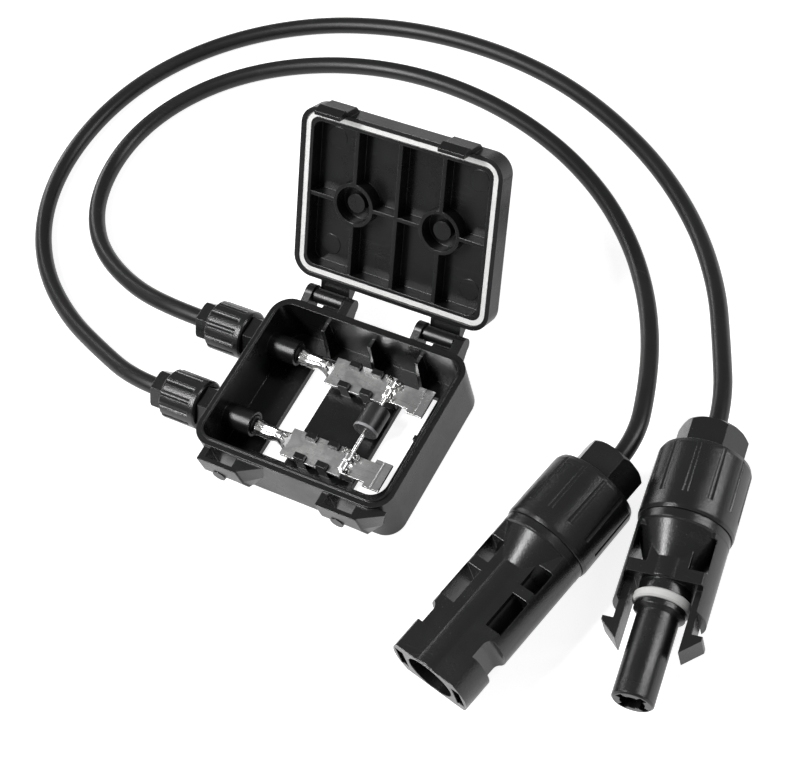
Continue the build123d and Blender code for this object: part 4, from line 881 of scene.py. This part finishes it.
rolled = add_node(
    tabs_tree,
    "GeometryNodeCurveToMesh",
    {"Curve": roll.outputs[0], "Profile Curve": ribbon.outputs[0], "Fill Caps": True},
)
stood = add_node(
    tabs_tree, "GeometryNodeTransform", {"Geometry": rolled.outputs[0], "Rotation": UPRIGHT}
)
headings = add_node(tabs_tree, "FunctionNodeRandomValue", data_type="FLOAT_VECTOR")
headings.inputs["Min"].default_value = LEAST_TURN
headings.inputs["Max"].default_value = MOST_TURN
tabs_tree.links.new(given["Seed"], headings.inputs["Seed"])
copies = add_node(
    tabs_tree,
    "GeometryNodeInstanceOnPoints",
    {"Points": given["Geometry"], "Instance": stood.outputs[0], "Rotation": headings.outputs["Value"]},
)
finish_tree(tabs_tree, copies.outputs[0], given["Finish"], out)
print("built", tabs_tree.name)

# %% [markdown]
# Three tabs stand on each strip, two towards the hinge and one on the other side.
# They could be scattered at random, but on the real part they keep close to the
# diode's lead. So a short table holds their places, counted from the wire's in Y.

# %% Curled tabs
TAB_PLACES = [(0.0074, 0.0033, 0.0069), (0.0112, 0.0024, 0.0069), (0.0106, -0.0025, 0.0069)]
TAB_SIZES = {"Outer Radius": 0.0011, "Inner Radius": 0.0006, "Width": 0.0018, "Thickness": 0.0003}
TAB_SEEDS = {"rear": 4, "front": 9}
for side, entry_y in ENTRY_PLACES.items():
    tab_places = bpy.data.meshes.new("tab_places")
    tab_places.from_pydata([(x, entry_y + y, z) for x, y, z in TAB_PLACES], [], [])
    values = {**TAB_SIZES, "Seed": TAB_SEEDS[side], "Finish": drawn_wire}
    tabs = grow("curled_tabs_" + side, tab_places, tabs_tree, values)
    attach(tabs, "box")

# %% [markdown]
# The ground is a plain pale sheet. A sheet that only glows would hide the object's
# shadow, and one that is only lit would come out grey. So it is lit like everything
# else, which keeps a soft shadow, and it also glows to camera, mirror and glass rays,
# which takes the rest of it to white without any extra light on the object.

# %% Stage
FLOOR_HALF = 2.5
FLOOR_HEIGHT = -0.00005
GROUND_TO_CAMERA = 0.84
GROUND_TO_MIRRORS = 0.62
corners = [
    (-FLOOR_HALF, -FLOOR_HALF),
    (FLOOR_HALF, -FLOOR_HALF),
    (FLOOR_HALF, FLOOR_HALF),
    (-FLOOR_HALF, FLOOR_HALF),
]
sheet = bpy.data.meshes.new("ground")
sheet.from_pydata([(x, y, FLOOR_HEIGHT) for x, y in corners], [], [(0, 1, 2, 3)])
ground = bpy.data.objects.new("ground", sheet)
bpy.context.scene.collection.objects.link(ground)


def ray_level(tree, to_camera, to_mirrors, to_others):
    """A strength for camera rays, one for mirror and glass rays, one for soft light."""
    rays = add_node(tree, "ShaderNodeLightPath").outputs
    mirrored = compute(tree, "MAXIMUM", rays["Is Glossy Ray"], rays["Is Transmission Ray"])
    level = spread(tree, mirrored, 0.0, 1.0, to_others, to_mirrors)
    return spread(tree, rays["Is Camera Ray"], 0.0, 1.0, level, to_camera)


ground_paper, tree, shader = bare_finish("ground_paper", Roughness=0.9, Specular_IOR_Level=0.1)
shader.inputs["Base Color"].default_value = (0.60, 0.60, 0.60, 1)
shader.inputs["Emission Color"].default_value = (1, 1, 1, 1)
glow = ray_level(tree, GROUND_TO_CAMERA, GROUND_TO_MIRRORS, 0.0)
tree.links.new(glow, shader.inputs["Emission Strength"])
sheet.materials.append(ground_paper)
print("ground is", 2 * FLOOR_HALF, "m across")

# %% [markdown]
# Black parts are read from their reflections, so the lamps are few and well placed.
# A ring of soft boxes would be simpler, but it would grey every surface alike. Here a
# long bright key leans in on the left, rolled so that it lies across the line of
# the sleeves, clamp nuts and upper cable arcs. They mirror it, and so do the cones,
# but the flat strips do not. Low panels on the left and right draw the lines along
# the cables' sides and the ridges.

# %% Lamps
LAMPS = {
    "key": {"place": (-0.30, -0.30, 0.57), "size": (0.13, 0.46), "roll": 40.0, "power": 5.2},
    "left_panel": {"place": (-0.66, 0.24, 0.24), "size": (0.10, 0.40), "roll": 0.0, "power": 0.8},
    "right_panel": {"place": (0.50, 0.30, 0.42), "size": (0.08, 0.45), "roll": 0.0, "power": 1.4},
}
LAMP_TARGET = Vector((0.0, 0.03, 0.01))
for name, values in LAMPS.items():
    lamp = bpy.data.lights.new(name, "AREA")
    lamp.shape = "RECTANGLE"
    lamp.size = values["size"][0]
    lamp.size_y = values["size"][1]
    lamp.energy = values["power"]
    holder = bpy.data.objects.new(name, lamp)
    holder.location = values["place"]
    aim = LAMP_TARGET - Vector(values["place"])
    roll = Quaternion((0.0, 0.0, 1.0), radians(values["roll"]))
    holder.rotation_euler = (aim.to_track_quat("-Z", "Y") @ roll).to_euler()
    bpy.context.scene.collection.objects.link(holder)
print("lamps", len(LAMPS))

# %% [markdown]
# The world fills the shadows. A white world would do for the background, but the tin
# would mirror it and turn white too, and the black parts would go grey. So it is
# white to the camera and dimmer in mirrors and in its soft light, as in a dark
# studio. The Standard view keeps the white at pure white.

# %% World
FILL_LEVEL = 0.20
MIRROR_LEVEL = 0.30
world = bpy.data.worlds.new("studio")
bpy.context.scene.world = world
world.use_nodes = True
sky = world.node_tree.nodes["Background"]
sky.inputs["Color"].default_value = (1, 1, 1, 1)
strength = ray_level(world.node_tree, 1.0, MIRROR_LEVEL, FILL_LEVEL)
world.node_tree.links.new(strength, sky.inputs["Strength"])
bpy.context.scene.view_settings.view_transform = "Standard"
print("world fills at", FILL_LEVEL, "and mirrors at", MIRROR_LEVEL)
